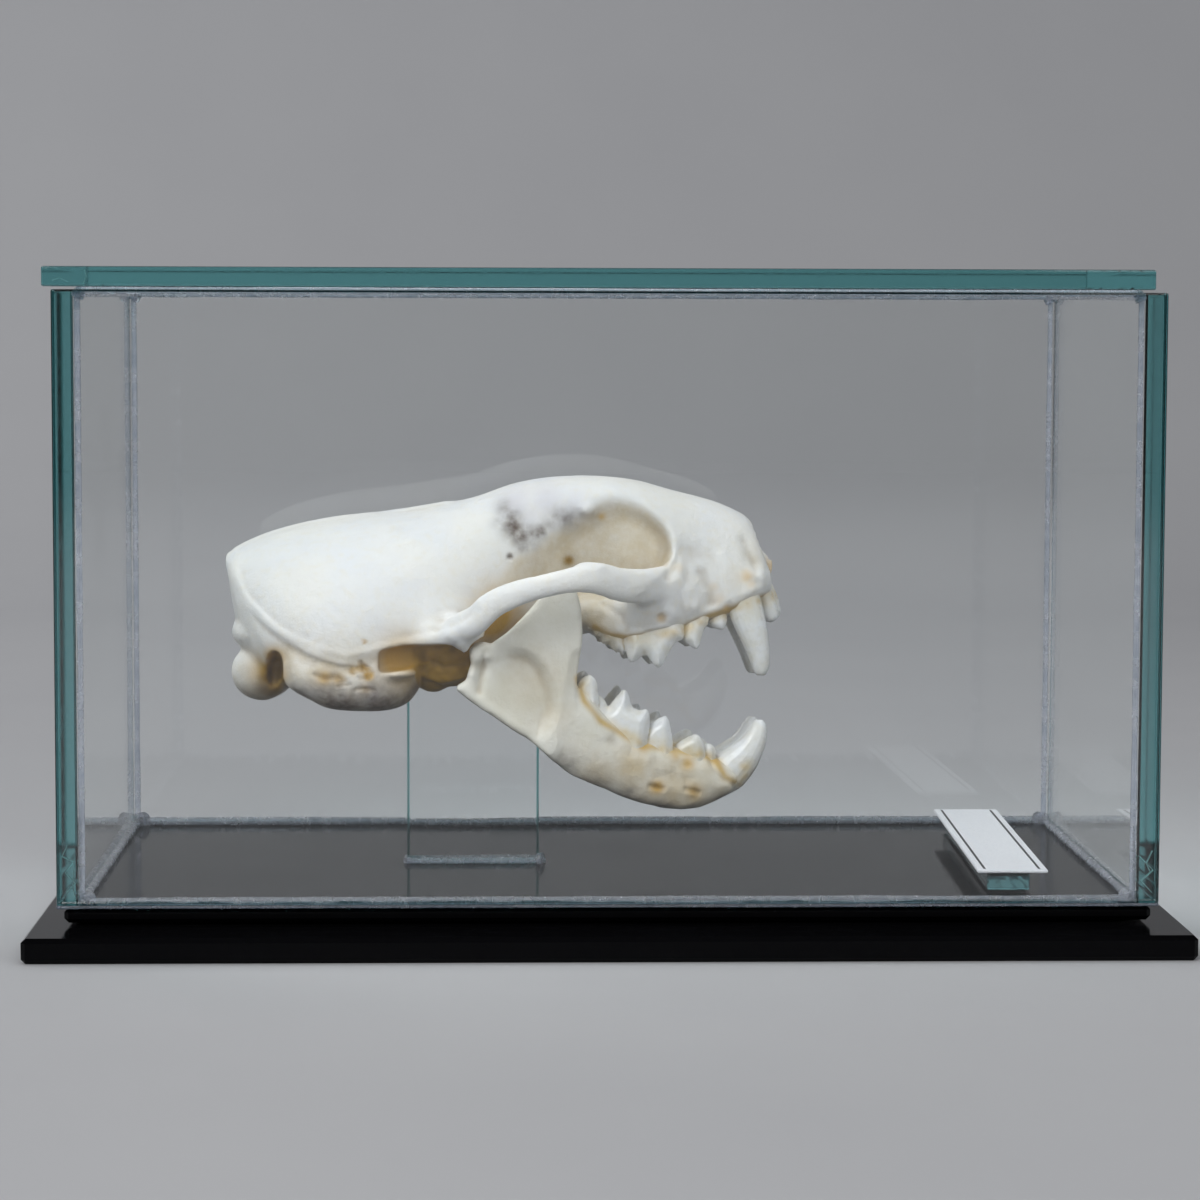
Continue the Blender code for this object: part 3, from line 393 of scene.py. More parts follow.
# Canines bend along their length: x, y, z, length and width
UPPER_CANINE = (
    (60.1, 5.7, 35.0, 3.2, 2.8),
    (60.95, 6.0, 32.0, 4.1, 3.3),
    (61.7, 6.1, 29.6, 4.0, 3.2),
    (62.4, 6.1, 27.4, 3.4, 2.9),
    (62.9, 6.05, 25.6, 2.8, 2.4),
    (63.2, 5.95, 24.1, 2.3, 2.0),
    (63.25, 5.9, 23.1, 1.7, 1.6),
    (63.25, 5.85, 22.6, 1.0, 0.9),
)
LOWER_CANINE = (
    (56.6, 4.4, 8.8, 3.4, 2.8),
    (59.1, 5.25, 11.0, 4.9, 3.9),
    (60.9, 5.35, 12.6, 4.3, 3.4),
    (62.1, 5.3, 14.1, 3.3, 2.8),
    (62.8, 5.2, 15.5, 2.6, 2.3),
    (63.05, 5.1, 16.6, 2.0, 1.7),
    (63.1, 5.05, 17.35, 1.0, 0.8),
)

# Lower jaw: x, top, floor, middle y and half thickness of the bar that holds the teeth
JAW_BAR = (
    (34.0, 18.6, 16.6, 12.9, 1.0),
    (37.0, 20.4, 14.4, 12.5, 1.3),
    (40.0, 21.9, 11.6, 11.7, 1.8),
    (42.6, 20.7, 10.3, 11.2, 2.2),
    (44.6, 18.2, 9.5, 10.6, 2.4),
    (47.0, 16.4, 8.4, 9.7, 2.4),
    (50.0, 15.0, 7.5, 8.7, 2.4),
    (53.0, 14.3, 6.9, 7.7, 2.4),
    (56.0, 13.7, 7.1, 6.6, 2.5),
    (58.4, 12.8, 8.1, 5.5, 2.7),
    (60.2, 12.0, 9.3, 4.6, 2.5),
    (61.3, 11.6, 10.4, 4.0, 1.6),
)
# Outline of the jaw's rear plate, round from the angle at the back
JAW_PLATE = (
    (27.3, 21.3), (28.7, 22.5), (29.6, 24.5), (31.2, 26.1), (33.6, 28.0), (36.4, 30.9),
    (38.6, 33.6), (40.6, 33.6), (41.7, 31.2), (42.0, 27.0), (41.4, 23.0), (41.2, 17.0),
    (40.0, 12.2), (36.0, 15.2), (32.4, 17.7), (29.2, 19.8),
)
PLATE_Y = 12.55
PLATE_THICK = 2.1
PLATE_FLARE = 0.1    # the plate leans outwards behind its front edge
PLATE_FRONT = 41.7
JAW_HEAD = (30.4, 25.2)
JAW_HEAD_Y = (9.6, 15.9)
JAW_HEAD_RADIUS = 1.5
JAW_HEAD_PROFILE = ((0.0, 0.45), (0.15, 0.85), (0.5, 1.0), (0.85, 0.8), (1.0, 0.4))
# Rounded mass of the chin, and the box beyond the middle plane that is cut from each half
CHIN = ((58.6, 2.3, 10.2), (3.2, 3.2, 1.7), (0.0, -32.0, 0.0))
BEYOND_MIDDLE = ((40.0, -12.0, 0.0), (70.0, 0.25, 30.0))
JAW_OPENINGS = (
    ((50.7, 10.9, 9.7), (0.5, 1.2, 0.18), (0.0, 6.0, 0.0)),
    ((55.0, 9.3, 9.2), (0.66, 1.1, 0.16)),
    ((38.6, 11.2, 19.4), (0.9, 1.1, 0.6), (0.0, 30.0, 0.0)),
)
# The muscle hollow on the outer side of the jaw, in the side view
MUSCLE_HOLLOW = (
    (36.6, 14.6, 2.6), (38.6, 15.8, 2.4), (39.6, 18.4, 1.8), (39.3, 21.4, 1.7), (38.0, 24.1, 1.6),
    (36.2, 25.7, 1.5), (34.2, 26.2, 1.6), (32.4, 25.8, 2.4), (31.2, 23.8, 3.6), (30.9, 21.0, 5.0),
    (32.2, 18.6, 5.0), (34.4, 16.2, 3.4),
)
MUSCLE_HOLLOW_DEPTH = ((29.0, 0.2), (32.0, 0.6), (35.0, 0.95), (40.0, 1.05))
JAW_CARVING = (
    (45.1, 15.1, 1.2, 0.9, 0.2, 6.0),
    (54.4, 12.3, 0.9, 0.6, 0.22, 5.0),
    (51.8, 10.9, 1.4, 0.7, 0.16, 5.0),
    (54.4, 10.6, 1.2, 0.6, 0.15, 5.0),
    (49.6, 12.6, 0.8, 1.4, -0.15, 6.0),
    (52.2, 12.2, 0.6, 1.2, -0.12, 6.0),
    (59.2, 9.6, 1.3, 1.0, -0.2, 3.0),
    (47.6, 14.2, 0.7, 0.9, 0.14, 7.0),
)
JAW_GROOVES = (
    (((57.3, 12.6), (57.8, 11.4), (58.9, 10.4), (60.4, 9.5)), 0.4, 0.22, 3.0),
    (((30.9, 25.6), (30.6, 24.0), (30.3, 22.4), (30.1, 21.0)), 0.5, 0.4, 11.0),
    (((29.5, 25.6), (29.6, 24.2), (29.2, 22.8)), 0.45, -0.35, 10.0),
    (((31.8, 27.0), (34.6, 29.8), (37.6, 33.0)), 0.5, -0.15, 11.0),
    (((28.0, 21.5), (31.0, 19.2), (35.0, 16.4)), 0.6, -0.2, 11.0),
    (((50.0, 9.9), (51.4, 9.5)), 0.3, 0.25, 5.0),
    (((54.2, 9.4), (55.7, 9.0)), 0.3, 0.25, 5.0),
)

# Gum lines: x, z along the outer side of each tooth row
UPPER_GUM = (
    (43.6, 28.3), (45.2, 27.4), (47.2, 27.0), (50.3, 27.4), (53.6, 27.9), (55.4, 28.8),
    (57.2, 29.6), (59.3, 30.2), (61.0, 30.9), (63.0, 31.6), (64.6, 31.9), (65.6, 32.3),
)
LOWER_GUM = (
    (41.4, 22.4), (42.2, 19.8), (44.1, 17.5), (46.6, 15.9), (49.0, 14.6), (52.8, 13.9),
    (56.4, 13.3), (57.9, 12.5), (58.9, 10.8), (60.7, 9.8), (61.6, 11.2), (61.4, 12.0),
)


def smooth_rows(rows, steps):
    """Rows on a smooth curve through the given rows, with steps rows to each gap."""
    rows = np.array(rows, float)
    padded = np.vstack([2 * rows[0] - rows[1], rows, 2 * rows[-1] - rows[-2]])
    out = []
    for a, b, c, d in zip(padded, padded[1:], padded[2:], padded[3:]):
        for t in np.linspace(0.0, 1.0, steps, endpoint=False):
            bend = (2 * a - 5 * b + 4 * c - d) * t * t + (3 * b - a - 3 * c + d) * t ** 3
            out.append(0.5 * (2 * b + (c - a) * t + bend))
    out.append(rows[-1])
    return np.array(out)


def power(value, exponent):
    return math.copysign(abs(value) ** exponent, value)


def loft(bm, rings):
    """Closed tube through rings of points, with a fan at each end."""
    loops = [[bm.verts.new(p) for p in ring] for ring in rings]
    count = len(loops[0])
    faces = []
    for one, two in zip(loops, loops[1:]):
        for k in range(count):
            j = (k + 1) % count
            faces.append(bm.faces.new((one[k], one[j], two[j], two[k])))
    for loop, flip in ((loops[0], True), (loops[-1], False)):
        centre = bm.verts.new(sum((v.co for v in loop), Vector()) / count)
        for k in range(count):
            pair = (loop[k], loop[(k + 1) % count])
            faces.append(bm.faces.new((*(reversed(pair) if flip else pair), centre)))
    bmesh.ops.recalc_face_normals(bm, faces=faces)


def body(bm, rows, steps=8):
    """Lofted mass from a table of cross-sections."""
    rings = []
    for x, top, floor, half, waist, upper, lower in smooth_rows(rows, steps):
        ring = []
        for k in range(RING):
            c, s = math.cos(math.tau * k / RING), math.sin(math.tau * k / RING)
            full, reach = (upper, top - waist) if s >= 0 else (lower, waist - floor)
            ring.append((x, half * power(c, 2 / full), waist + reach * power(s, 2 / full)))
        rings.append(ring)
    loft(bm, rings)


def lobe(bm, rows, steps=6, sides=28, fullness=2.4):
    """Lofted mass beside the middle plane: x, y, z, half width, half height."""
    rings = []
    for x, y, z, wide, high in smooth_rows(rows, steps):
        ring = []
        for k in range(sides):
            c, s = math.cos(math.tau * k / sides), math.sin(math.tau * k / sides)
            ring.append((x, y + wide * power(c, 2 / fullness), z + high * power(s, 2 / fullness)))
        rings.append(ring)
    loft(bm, rings)


def along_path(rows, steps, guide):
    """Rows on a smooth path, each with two directions square to it, the first square to a guide too."""
    rows = smooth_rows(rows, steps)
    for row, along in zip(rows, np.gradient(rows[:, :3], axis=0)):
        along = Vector(along).normalized()
        side = along.cross(Vector(guide)).normalized()
        yield row, side, side.cross(along)


def oval(centre, one, wide, two, high, sides, start=0.0):
    """Ring of points about a centre, so wide along one direction and so high along another."""
    ring = []
    for k in range(sides):
        turn = math.tau * (k + start) / sides
        across = one * (math.cos(turn) * wide / 2)
        ring.append(Vector(centre) + across + two * (math.sin(turn) * high / 2))
    return ring


def sweep(bm, rows, steps=7, sides=20):
    """Bar of oval section along a path: x, y, z, height, thickness."""
    rings = []
    for row, side, up in along_path(rows, steps, (0.0, 0.0, 1.0)):
        rings.append(oval(row[:3], side, row[4], up, row[3], sides))
    loft(bm, rings)


def ball(bm, centre, half, turns=(0.0, 0.0, 0.0)):
    turn = Euler([math.radians(a) for a in turns]).to_matrix().to_4x4()
    place = Matrix.Translation(centre) @ turn @ Matrix.Diagonal((*half, 1.0))
    bmesh.ops.create_icosphere(bm, subdivisions=BALL_DETAIL, radius=1.0, matrix=place)


def tooth(bm, rows, steps):
    """Oval sections along a tooth: x, y, z, length along the jaw and width across it."""
    rings = []
    for row, out, fore in along_path(rows, steps, (1.0, 0.0, 0.0)):
        rings.append(oval(row[:3], fore, row[3], out, row[4], TOOTH_SIDES, 0.5))
    loft(bm, rings)


def cusp_rows(root, tip, length, width, profile=CUSP_PROFILE):
    """A straight cusp that swells above the gum and ends in a blunt tip."""
    root, tip = np.array(root), np.array(tip)
    rows = []
    for t, size in profile:
        rows.append((*(root + (tip - root) * t), length * size, width * size))
    return rows


def blade(bm, outline, thick, reach, gum, tip):
    """A tooth flattened across the jaw: its outline in the side view, swelling away from the edge."""
    outline = smooth_rows([(x, z) for x, z in outline + outline[:1]], 3)[:-1]
    low, high = outline.min(axis=0), outline.max(axis=0)
    columns, rows = ((high - low) / BLADE_GRID).astype(int) + 3
    grid = np.array([[(low[0] + (i - 1) * BLADE_GRID, 0.0, low[1] + (k - 1) * BLADE_GRID)
                      for k in range(rows)] for i in range(columns)])
    flat = grid.reshape(-1, 3)
    away = inside_of(flat, outline, np.full(len(outline), reach)).reshape(columns, rows)
    full = np.clip(away, 0.0, 1.0)
    half = thick / 2 * (1.0 - BLADE_SWELL * (1.0 - full) ** BLADE_ROUND)
    lean = np.clip((grid[:, :, 2] - gum[0]) / (tip[0] - gum[0]), -0.5, 1.0)
    middle = gum[1] + (tip[1] - gum[1]) * lean
    sheets = []
    for way in (1, -1):
        sheet = {}
        for i in range(columns):
            for k in range(rows):
                if away[i, k] > 0:
                    y = middle[i, k] + way * max(half[i, k], BLADE_LEAST)
                    sheet[i, k] = bm.verts.new((grid[i, k, 0], y, grid[i, k, 2]))
        sheets.append(sheet)
    faces, sides = [], {}
    for i in range(columns - 1):
        for k in range(rows - 1):
            around = ((i, k), (i + 1, k), (i + 1, k + 1), (i, k + 1))
            if all(spot in sheets[0] for spot in around):
                faces.append(bm.faces.new([sheets[0][spot] for spot in around]))
                faces.append(bm.faces.new([sheets[1][spot] for spot in reversed(around)]))
                for a, b in zip(around, around[1:] + around[:1]):
                    sides[a, b] = sides.get((a, b), 0) + 1
    for a, b in sides:
        if (b, a) not in sides:
            faces.append(bm.faces.new((sheets[0][b], sheets[0][a], sheets[1][a], sheets[1][b])))
    bmesh.ops.recalc_face_normals(bm, faces=faces)
    loose = [vert for sheet in sheets for vert in sheet.values() if not vert.link_faces]
    bmesh.ops.delete(bm, geom=loose, context="VERTS")


def other_side(bm):
    """Turn everything over to the animal's right."""
    bmesh.ops.scale(bm, vec=(1.0, -1.0, 1.0), verts=bm.verts[:])
    bmesh.ops.reverse_faces(bm, faces=bm.faces[:])


def mirror(bm):
    """Add the other side's copy of everything."""
    copy = bmesh.ops.duplicate(bm, geom=bm.verts[:] + bm.edges[:] + bm.faces[:])["geom"]
    verts = [item for item in copy if isinstance(item, bmesh.types.BMVert)]
    faces = [item for item in copy if isinstance(item, bmesh.types.BMFace)]
    bmesh.ops.scale(bm, vec=(1.0, -1.0, 1.0), verts=verts)
    bmesh.ops.reverse_faces(bm, faces=faces)


def as_object(bm, name):
    mesh = bpy.data.meshes.new(name)
    bm.to_mesh(mesh)
    bm.free()
    obj = bpy.data.objects.new(name, mesh)
    bpy.context.scene.collection.objects.link(obj)
    return obj


def apply_modifiers(obj):
    bpy.context.view_layer.update()
    graph = bpy.context.evaluated_depsgraph_get()
    done = bpy.data.meshes.new_from_object(obj.evaluated_get(graph))
    obj.modifiers.clear()
    old = obj.data
    obj.data = done
    bpy.data.meshes.remove(old)


def fuse(obj, voxel, passes):
    """Join overlapping masses into one skin and soften where they meet."""
    skin = obj.modifiers.new("skin", "REMESH")
    skin.mode = "VOXEL"
    skin.voxel_size = voxel
    soft = obj.modifiers.new("soft", "SMOOTH")
    soft.factor = 0.5
    soft.iterations = passes
    apply_modifiers(obj)


def thin(obj, faces):
    """Collapse a fine skin to at most the given number of triangles."""
    now = sum(len(p.vertices) - 2 for p in obj.data.polygons)
    if now <= faces:
        return
    less = obj.modifiers.new("less", "DECIMATE")
    less.ratio = faces / now
    less.use_collapse_triangulate = True
    apply_modifiers(obj)


def combine(obj, others, operation):
    """One Boolean with a collection of closed objects, which are then removed."""
    group = bpy.data.collections.new("operands")
    bpy.context.scene.collection.children.link(group)
    for other in others:
        bpy.context.scene.collection.objects.unlink(other)
        group.objects.link(other)
    join = obj.modifiers.new("join", "BOOLEAN")
    join.operation = operation
    join.operand_type = "COLLECTION"
    join.collection = group
    join.solver = "EXACT"
    apply_modifiers(obj)
    for other in others:
        bpy.data.objects.remove(other, do_unlink=True)
    bpy.data.collections.remove(group)


def keep_largest(obj):
    """Keep the largest closed surface."""
    bm = bmesh.new()
    bm.from_mesh(obj.data)
    bm.verts.ensure_lookup_table()
    seen, shells = set(), []
    for start in bm.verts:
        if start in seen:
            continue
        shell, queue = [], [start]
        seen.add(start)
        while queue:
            vert = queue.pop()
            shell.append(vert)
            for edge in vert.link_edges:
                other = edge.other_vert(vert)
                if other not in seen:
                    seen.add(other)
                    queue.append(other)
        shells.append(shell)
    shells.sort(key=len)
    bmesh.ops.delete(bm, geom=[v for shell in shells[:-1] for v in shell], context="VERTS")
    bm.to_mesh(obj.data)
    bm.free()


def joined(obj, others):
    """Add the meshes of other objects to one, which are then removed."""
    bm = bmesh.new()
    for part in (obj, *others):
        bm.from_mesh(part.data)
    bm.to_mesh(obj.data)
    bm.free()
    for part in others:
        bpy.data.objects.remove(part, do_unlink=True)


def one_side(name, side, draw, *spec, **options):
    """An object drawn on the animal's left, or turned over to its right where side is -1."""
    bm = bmesh.new()
    draw(bm, *spec, **options)
    if side < 0:
        other_side(bm)
    return as_object(bm, name)


def cutters_of(openings, sides):
    """Each opening as an object, on each of the given sides."""
    return [one_side("cutter", side, ball, *spec) for spec in openings for side in sides]


def box_object(name, low, high):
    bm = bmesh.new()
    size = Vector(high) - Vector(low)
    place = Matrix.Translation((Vector(low) + Vector(high)) / 2) @ Matrix.Diagonal((*size, 1.0))
    bmesh.ops.create_cube(bm, size=1.0, matrix=place)
    return as_object(bm, name)


def jaw_head(bm, slack):
    """Spindle across the back of the jaw that turns in its joint."""
    inner, outer = JAW_HEAD_Y
    x, z = JAW_HEAD
    rows = []
    for t, size in JAW_HEAD_PROFILE:
        y = inner - slack + (outer - inner + 2 * slack) * t
        across = 2 * (JAW_HEAD_RADIUS * size + slack)
        rows.append((x, y, z, across, across))
    sweep(bm, rows, sides=24)


def pose_matrix():
    """From the skull's own frame into that of the case, in millimetres above its floor."""
    turn = Euler((math.radians(ROLL), 0.0, math.radians(YAW))).to_matrix().to_4x4()
    place = Vector((SKULL_BACK, 0.0, 0.0)) + Vector(PIVOT)
    return Matrix.Translation(place) @ turn @ Matrix.Translation(-Vector(PIVOT))


def box_of(node):
    """Lowest and highest corner of a solid's box, in millimetres."""
    return [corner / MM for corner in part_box(node)]


def post_slot():
    """Room for the upright post, as a cutter in the skull's own frame."""
    low, high = box_of("post")
    seat = high.z - FLOOR + SLACK / 2
    slot = box_object("slot", (low.x - SLACK, low.y - SLACK, seat - POST_SLOT),
                      (high.x + SLACK, high.y + SLACK, seat))
    slot.data.transform(pose_matrix().inverted())
    return slot


def numbers(obj):
    """Positions, normals and edges of a mesh as arrays."""
    mesh = obj.data
    co = np.empty(len(mesh.vertices) * 3)
    mesh.vertices.foreach_get("co", co)
    normals = np.empty(len(mesh.vertices) * 3)
    mesh.vertex_normals.foreach_get("vector", normals)
    edges = np.empty(len(mesh.edges) * 2, int)
    mesh.edges.foreach_get("vertices", edges)
    return co.reshape(-1, 3), normals.reshape(-1, 3), edges.reshape(-1, 2)


def relax(values, edges, passes):
    """Average each value with those of its neighbours, so many times over."""
    count = len(values)
    flat = values.reshape(count, -1)
    near = np.bincount(edges.ravel(), minlength=count)
    for _ in range(passes):
        total = np.empty_like(flat)
        for k in range(flat.shape[1]):
            column = np.bincount(edges[:, 0], flat[edges[:, 1], k], count)
            total[:, k] = column + np.bincount(edges[:, 1], flat[edges[:, 0], k], count)
        flat = (flat + total / np.maximum(near, 1)[:, None]) / 2
    return flat.reshape(values.shape)


def hollow_shade_mask(co, normals, edges, passes, full):
    """Where to paint shade: 0 on flat and raised ground, up to 1 in hollows about as wide as the passes
    reach.
    """
    sunk = ((relax(co, edges, passes) - co) * normals).sum(axis=1)
    return np.clip(sunk / full, 0.0, 1.0)


def ripple(co, size, seed):
    """Smooth noise of about the given size in millimetres, from -1 to 1."""
    away = Vector((seed * 7.3, seed * 3.1, seed * 5.7))
    return np.array([noise.noise(Vector(p) / size + away) for p in co])


def outer_side(co, normals, least):
    """Where a skin faces outwards at more than the least distance from the middle plane."""
    return (np.abs(co[:, 1]) > least) & (normals[:, 1] * np.sign(co[:, 1]) > 0.1)


def carve(co, normals, rows):
    """Depth of shallow pits and swellings seen from the side, on both sides."""
    depth = np.zeros(len(co))
    for x, z, along, up, sunk, least in rows:
        weight = np.exp(-((co[:, 0] - x) / along) ** 2 - ((co[:, 2] - z) / up) ** 2)
        depth += sunk * weight * outer_side(co, normals, least)
    return depth


def grooves(co, normals, rows):
    """Depth of grooves and ridges along paths in the side view, on both sides."""
    depth = np.zeros(len(co))
    for path, reach, sunk, least in rows:
        weight = np.exp(-(near_path(co, path) / reach) ** 2)
        depth += sunk * weight * outer_side(co, normals, least)
    return depth


def shift(obj, co, normals, depth):
    """Sink the surface by the given depth."""
    set_points(obj, co - normals * depth[:, None])


def from_line(flat, a, b):
    """Share of the way along a straight line that is nearest to each point, and the distance there."""
    along = np.clip((flat - a) @ (b - a) / ((b - a) @ (b - a)), 0.0, 1.0)
    return along, np.linalg.norm(flat - a - along[:, None] * (b - a), axis=1)


def inside_of(co, outline, widths):
    """How far inside a closed outline in the side view, in widths of its edges, and 0 outside."""
    flat = co[:, (0, 2)]
    best = np.full(len(co), 1e9)
    inside = np.zeros(len(co), bool)
    ends = np.roll(np.arange(len(outline)), -1)
    for k, j in enumerate(ends):
        a, b = outline[k], outline[j]
        along, away = from_line(flat, a, b)
        best = np.minimum(best, away / (widths[k] + (widths[j] - widths[k]) * along))
        level = (flat[:, 1] - a[1]) / (b[1] - a[1] + 1e-9)
        inside ^= ((a[1] > flat[:, 1]) != (b[1] > flat[:, 1])) & (flat[:, 0] < a[0] + (b[0] - a[0]) * level)
    return best * inside


def region(co, outline):
    """1 inside an outline of x, z, softness in the side view, fading to 0 at its edge."""
    rows = smooth_rows(outline + outline[:1], 5)[:-1]
    share = np.clip(inside_of(co, rows[:, :2], rows[:, 2]), 0.0, 1.0)
    return share * share * (3 - 2 * share)


def blend(obj, outline, passes):
    """Even out the side inside an outline in the side view, without moving that view's own edges."""
    co, _, edges = numbers(obj)
    co[:, 1] += region(co, outline) * (relax(co[:, 1], edges, passes) - co[:, 1])
    set_points(obj, co)


def press(co, outline, depths, least):
    """Move the side of a skin towards the middle plane inside an outline, on both sides."""
    deep = region(co, outline) * np.interp(co[:, 0], *np.array(depths).T)
    moved = co.copy()
    moved[:, 1] -= np.sign(co[:, 1]) * deep * (np.abs(co[:, 1]) > least)
    return moved


def set_points(obj, co):
    obj.data.vertices.foreach_set("co", co.ravel())
    obj.data.update()


def near_path(co, path):
    """Distance of each point from a path in the side view."""
    best = np.full(len(co), 1e9)
    flat = co[:, (0, 2)]
    for a, b in zip(np.array(path), np.array(path[1:])):
        best = np.minimum(best, from_line(flat, a, b)[1])
    return best


def spots(co, rows, right=False):
    """Soft-edged patches on both sides or the right only: x, y, z, radius and strength."""
    total = np.zeros(len(co))
    across = -co[:, 1] if right else np.abs(co[:, 1])
    for x, y, z, radius, strength in rows:
        away = (co[:, 0] - x) ** 2 + (across - y) ** 2 + (co[:, 2] - z) ** 2
        total = np.maximum(total, strength * np.exp(-away / radius ** 2))
    return total


def side_spots(co, rows, right=False):
    """Soft-edged patches seen from the side: x, z, radius, strength and least distance out."""
    total = np.zeros(len(co))
    across = -co[:, 1] if right else np.abs(co[:, 1])
    for x, z, radius, strength, least in rows:
        away = (co[:, 0] - x) ** 2 + (co[:, 2] - z) ** 2
        total = np.maximum(total, strength * np.exp(-away / radius ** 2) * (across > least))
    return total


def paint(obj, name, values):
    layer = obj.data.attributes.new(name, "FLOAT", "POINT")
    layer.data.foreach_set("value", np.clip(values, 0.0, 1.0).astype(np.float32))


# Tints of the bone: x, y, z, radius and strength, and in the tables that are seen from the side
# x, z, radius, strength and least distance from the middle plane. ORANGE, STAIN, SIDE_LILAC and
# JAW_STAIN_RIGHT are on the right side only, the others on both. DUSKY_SHADE is painted shade, grey under
# the ear capsules, and SHADOWED painted shade, dark ochre deep in the openings. TAN_AND_SHADE and
# JAW_TAN_AND_SHADE are partly tan bone and partly painted shade on the ear capsules, the condyle and the
# jaw's body and lower edge; JAW_STAIN_AND_SHADE is partly stain and partly painted shade in the jaw's small
# openings and along its lower edge.
TAN_AND_SHADE = (
    (36.2, 9.0, 34.8, 2.6, 0.45), (33.0, 10.6, 32.0, 2.6, 0.35), (12.0, 14.0, 22.6, 3.6, 0.8),
    (16.4, 11.0, 19.6, 4.8, 1.0), (20.4, 10.6, 20.4, 3.6, 1.0), (9.0, 13.0, 24.0, 3.2, 0.7),
    (44.0, 8.4, 29.4, 3.2, 0.85), (50.0, 0.0, 29.5, 9.0, 0.4), (12.4, 11.6, 20.4, 3.4, 1.0),
    (50.0, 12.0, 28.6, 2.0, 0.35), (4.4, 5.6, 20.8, 2.6, 0.9), (15.6, 14.0, 24.0, 2.4, 0.6),
    (3.6, 7.4, 23.0, 2.2, 0.4), (62.2, 6.0, 36.4, 1.4, 0.4), (60.4, 7.4, 34.0, 1.8, 0.35),
    (52.4, 9.6, 35.2, 0.9, 0.3),
)
OCHRE = (
    (21.0, 11.8, 24.9, 2.9, 1.0), (26.2, 8.4, 22.6, 3.4, 1.0), (29.6, 7.4, 23.4, 3.2, 1.0),
    (24.4, 12.0, 24.4, 2.2, 1.0), (32.8, 9.6, 28.4, 3.6, 1.0), (6.4, 8.4, 23.0, 2.4, 1.0),
    (31.0, 11.0, 26.6, 2.6, 1.0), (6.4, 7.6, 21.4, 1.6, 0.8), (29.4, 12.6, 25.6, 1.8, 0.8),
    (34.4, 6.0, 28.0, 2.6, 0.6), (52.6, 8.4, 34.2, 0.8, 0.5), (4.6, 0.0, 24.6, 3.4, 0.7),
    (24.0, 0.0, 20.8, 5.0, 0.5), (59.0, 0.0, 36.4, 3.4, 0.8), (64.8, 0.0, 35.4, 1.3, 0.45),
)
SIDE_OCHRE = (
    (6.3, 22.9, 1.3, 1.0, 3.0), (6.4, 24.8, 1.2, 0.9, 3.0), (6.3, 21.3, 1.0, 0.8, 3.0),
    (12.4, 22.5, 0.8, 0.6, 11.0), (13.9, 22.4, 0.7, 0.55, 11.0), (16.7, 23.7, 0.55, 0.75, 12.0),
    (17.4, 22.8, 0.6, 1.0, 12.0), (15.6, 23.4, 0.5, 0.6, 12.0), (17.0, 21.2, 0.6, 0.35, 10.0),
    (40.6, 36.1, 0.5, 0.85, 5.0), (44.4, 41.2, 0.4, 0.55, 5.0), (16.9, 26.7, 0.25, 0.6, 12.0),
)
ORANGE = (
    (61.5, 34.2, 0.75, 0.55, 4.0), (62.0, 33.4, 0.6, 0.35, 4.0), (51.3, 29.4, 0.5, 0.75, 7.0),
    (59.1, 30.5, 0.5, 0.6, 5.0), (58.1, 31.6, 0.8, 0.3, 5.0), (57.6, 32.9, 0.6, 0.25, 5.0),
    (53.4, 35.2, 0.5, 0.25, 6.0),
)
STAIN = (
    (33.9, 41.1, 1.2, 0.7, 4.0), (34.1, 39.9, 1.3, 1.0, 4.0), (34.9, 38.9, 1.2, 1.0, 4.0),
    (35.2, 37.8, 0.8, 0.85, 4.0), (33.0, 42.2, 1.1, 0.55, 4.0), (32.4, 40.6, 0.9, 0.3, 4.0),
    (37.2, 39.4, 0.9, 0.9, 4.0), (36.1, 39.3, 1.1, 0.7, 4.0), (38.4, 40.3, 1.1, 0.45, 4.0),
    (40.4, 40.9, 1.3, 0.72, 4.0), (39.3, 41.3, 1.1, 0.5, 4.0), (33.7, 36.6, 0.35, 0.9, 4.0),
    (36.3, 38.2, 1.0, 0.45, 4.0),
)
DUSKY_SHADE = (
    (14.0, 13.0, 19.2, 3.2, 0.95), (18.8, 12.0, 19.2, 3.1, 0.95), (17.6, 13.4, 20.9, 2.4, 0.75),
    (13.2, 13.8, 21.0, 2.2, 0.85), (9.7, 12.4, 20.9, 1.7, 0.85), (21.2, 10.8, 20.2, 1.8, 0.8),
    (3.2, 6.0, 20.4, 2.2, 0.45),
)
WORN_MOLAR = ((44.6, 8.6, 27.4, 3.0, 1.0),)
LILAC = (
    (17.4, 13.4, 20.2, 1.5, 0.7), (11.4, 13.6, 21.2, 1.4, 0.6), (14.4, 13.4, 20.4, 1.2, 0.5),
)
SIDE_LILAC = (
    (34.6, 43.0, 2.2, 0.85, 2.0), (38.0, 43.2, 2.4, 0.85, 2.0), (41.2, 42.8, 1.8, 0.6, 2.0),
    (36.2, 41.4, 1.8, 0.7, 2.0), (39.6, 41.8, 1.6, 0.5, 2.0),
)
SHADOWED = (
    (26.4, 6.0, 21.4, 3.0, 0.6), (29.6, 5.0, 22.8, 2.6, 0.8), (56.0, 0.0, 36.2, 3.4, 0.9),
    (3.4, 0.0, 24.6, 2.8, 0.8), (40.6, 6.4, 36.1, 0.7, 0.9), (51.0, 9.8, 34.2, 0.9, 0.3),
    (14.6, 10.6, 18.6, 3.2, 0.5), (19.6, 10.4, 18.8, 3.2, 0.5), (22.6, 8.8, 22.0, 1.8, 0.5),
    (11.4, 11.4, 20.0, 2.0, 0.35), (6.1, 7.6, 22.6, 1.6, 1.0), (5.7, 7.0, 20.9, 1.5, 0.9),
    (6.3, 8.0, 24.4, 1.0, 0.6), (5.3, 8.2, 22.4, 1.2, 0.9), (5.2, 7.6, 20.9, 1.5, 1.0),
    (22.6, 10.2, 21.2, 1.7, 1.0),
)
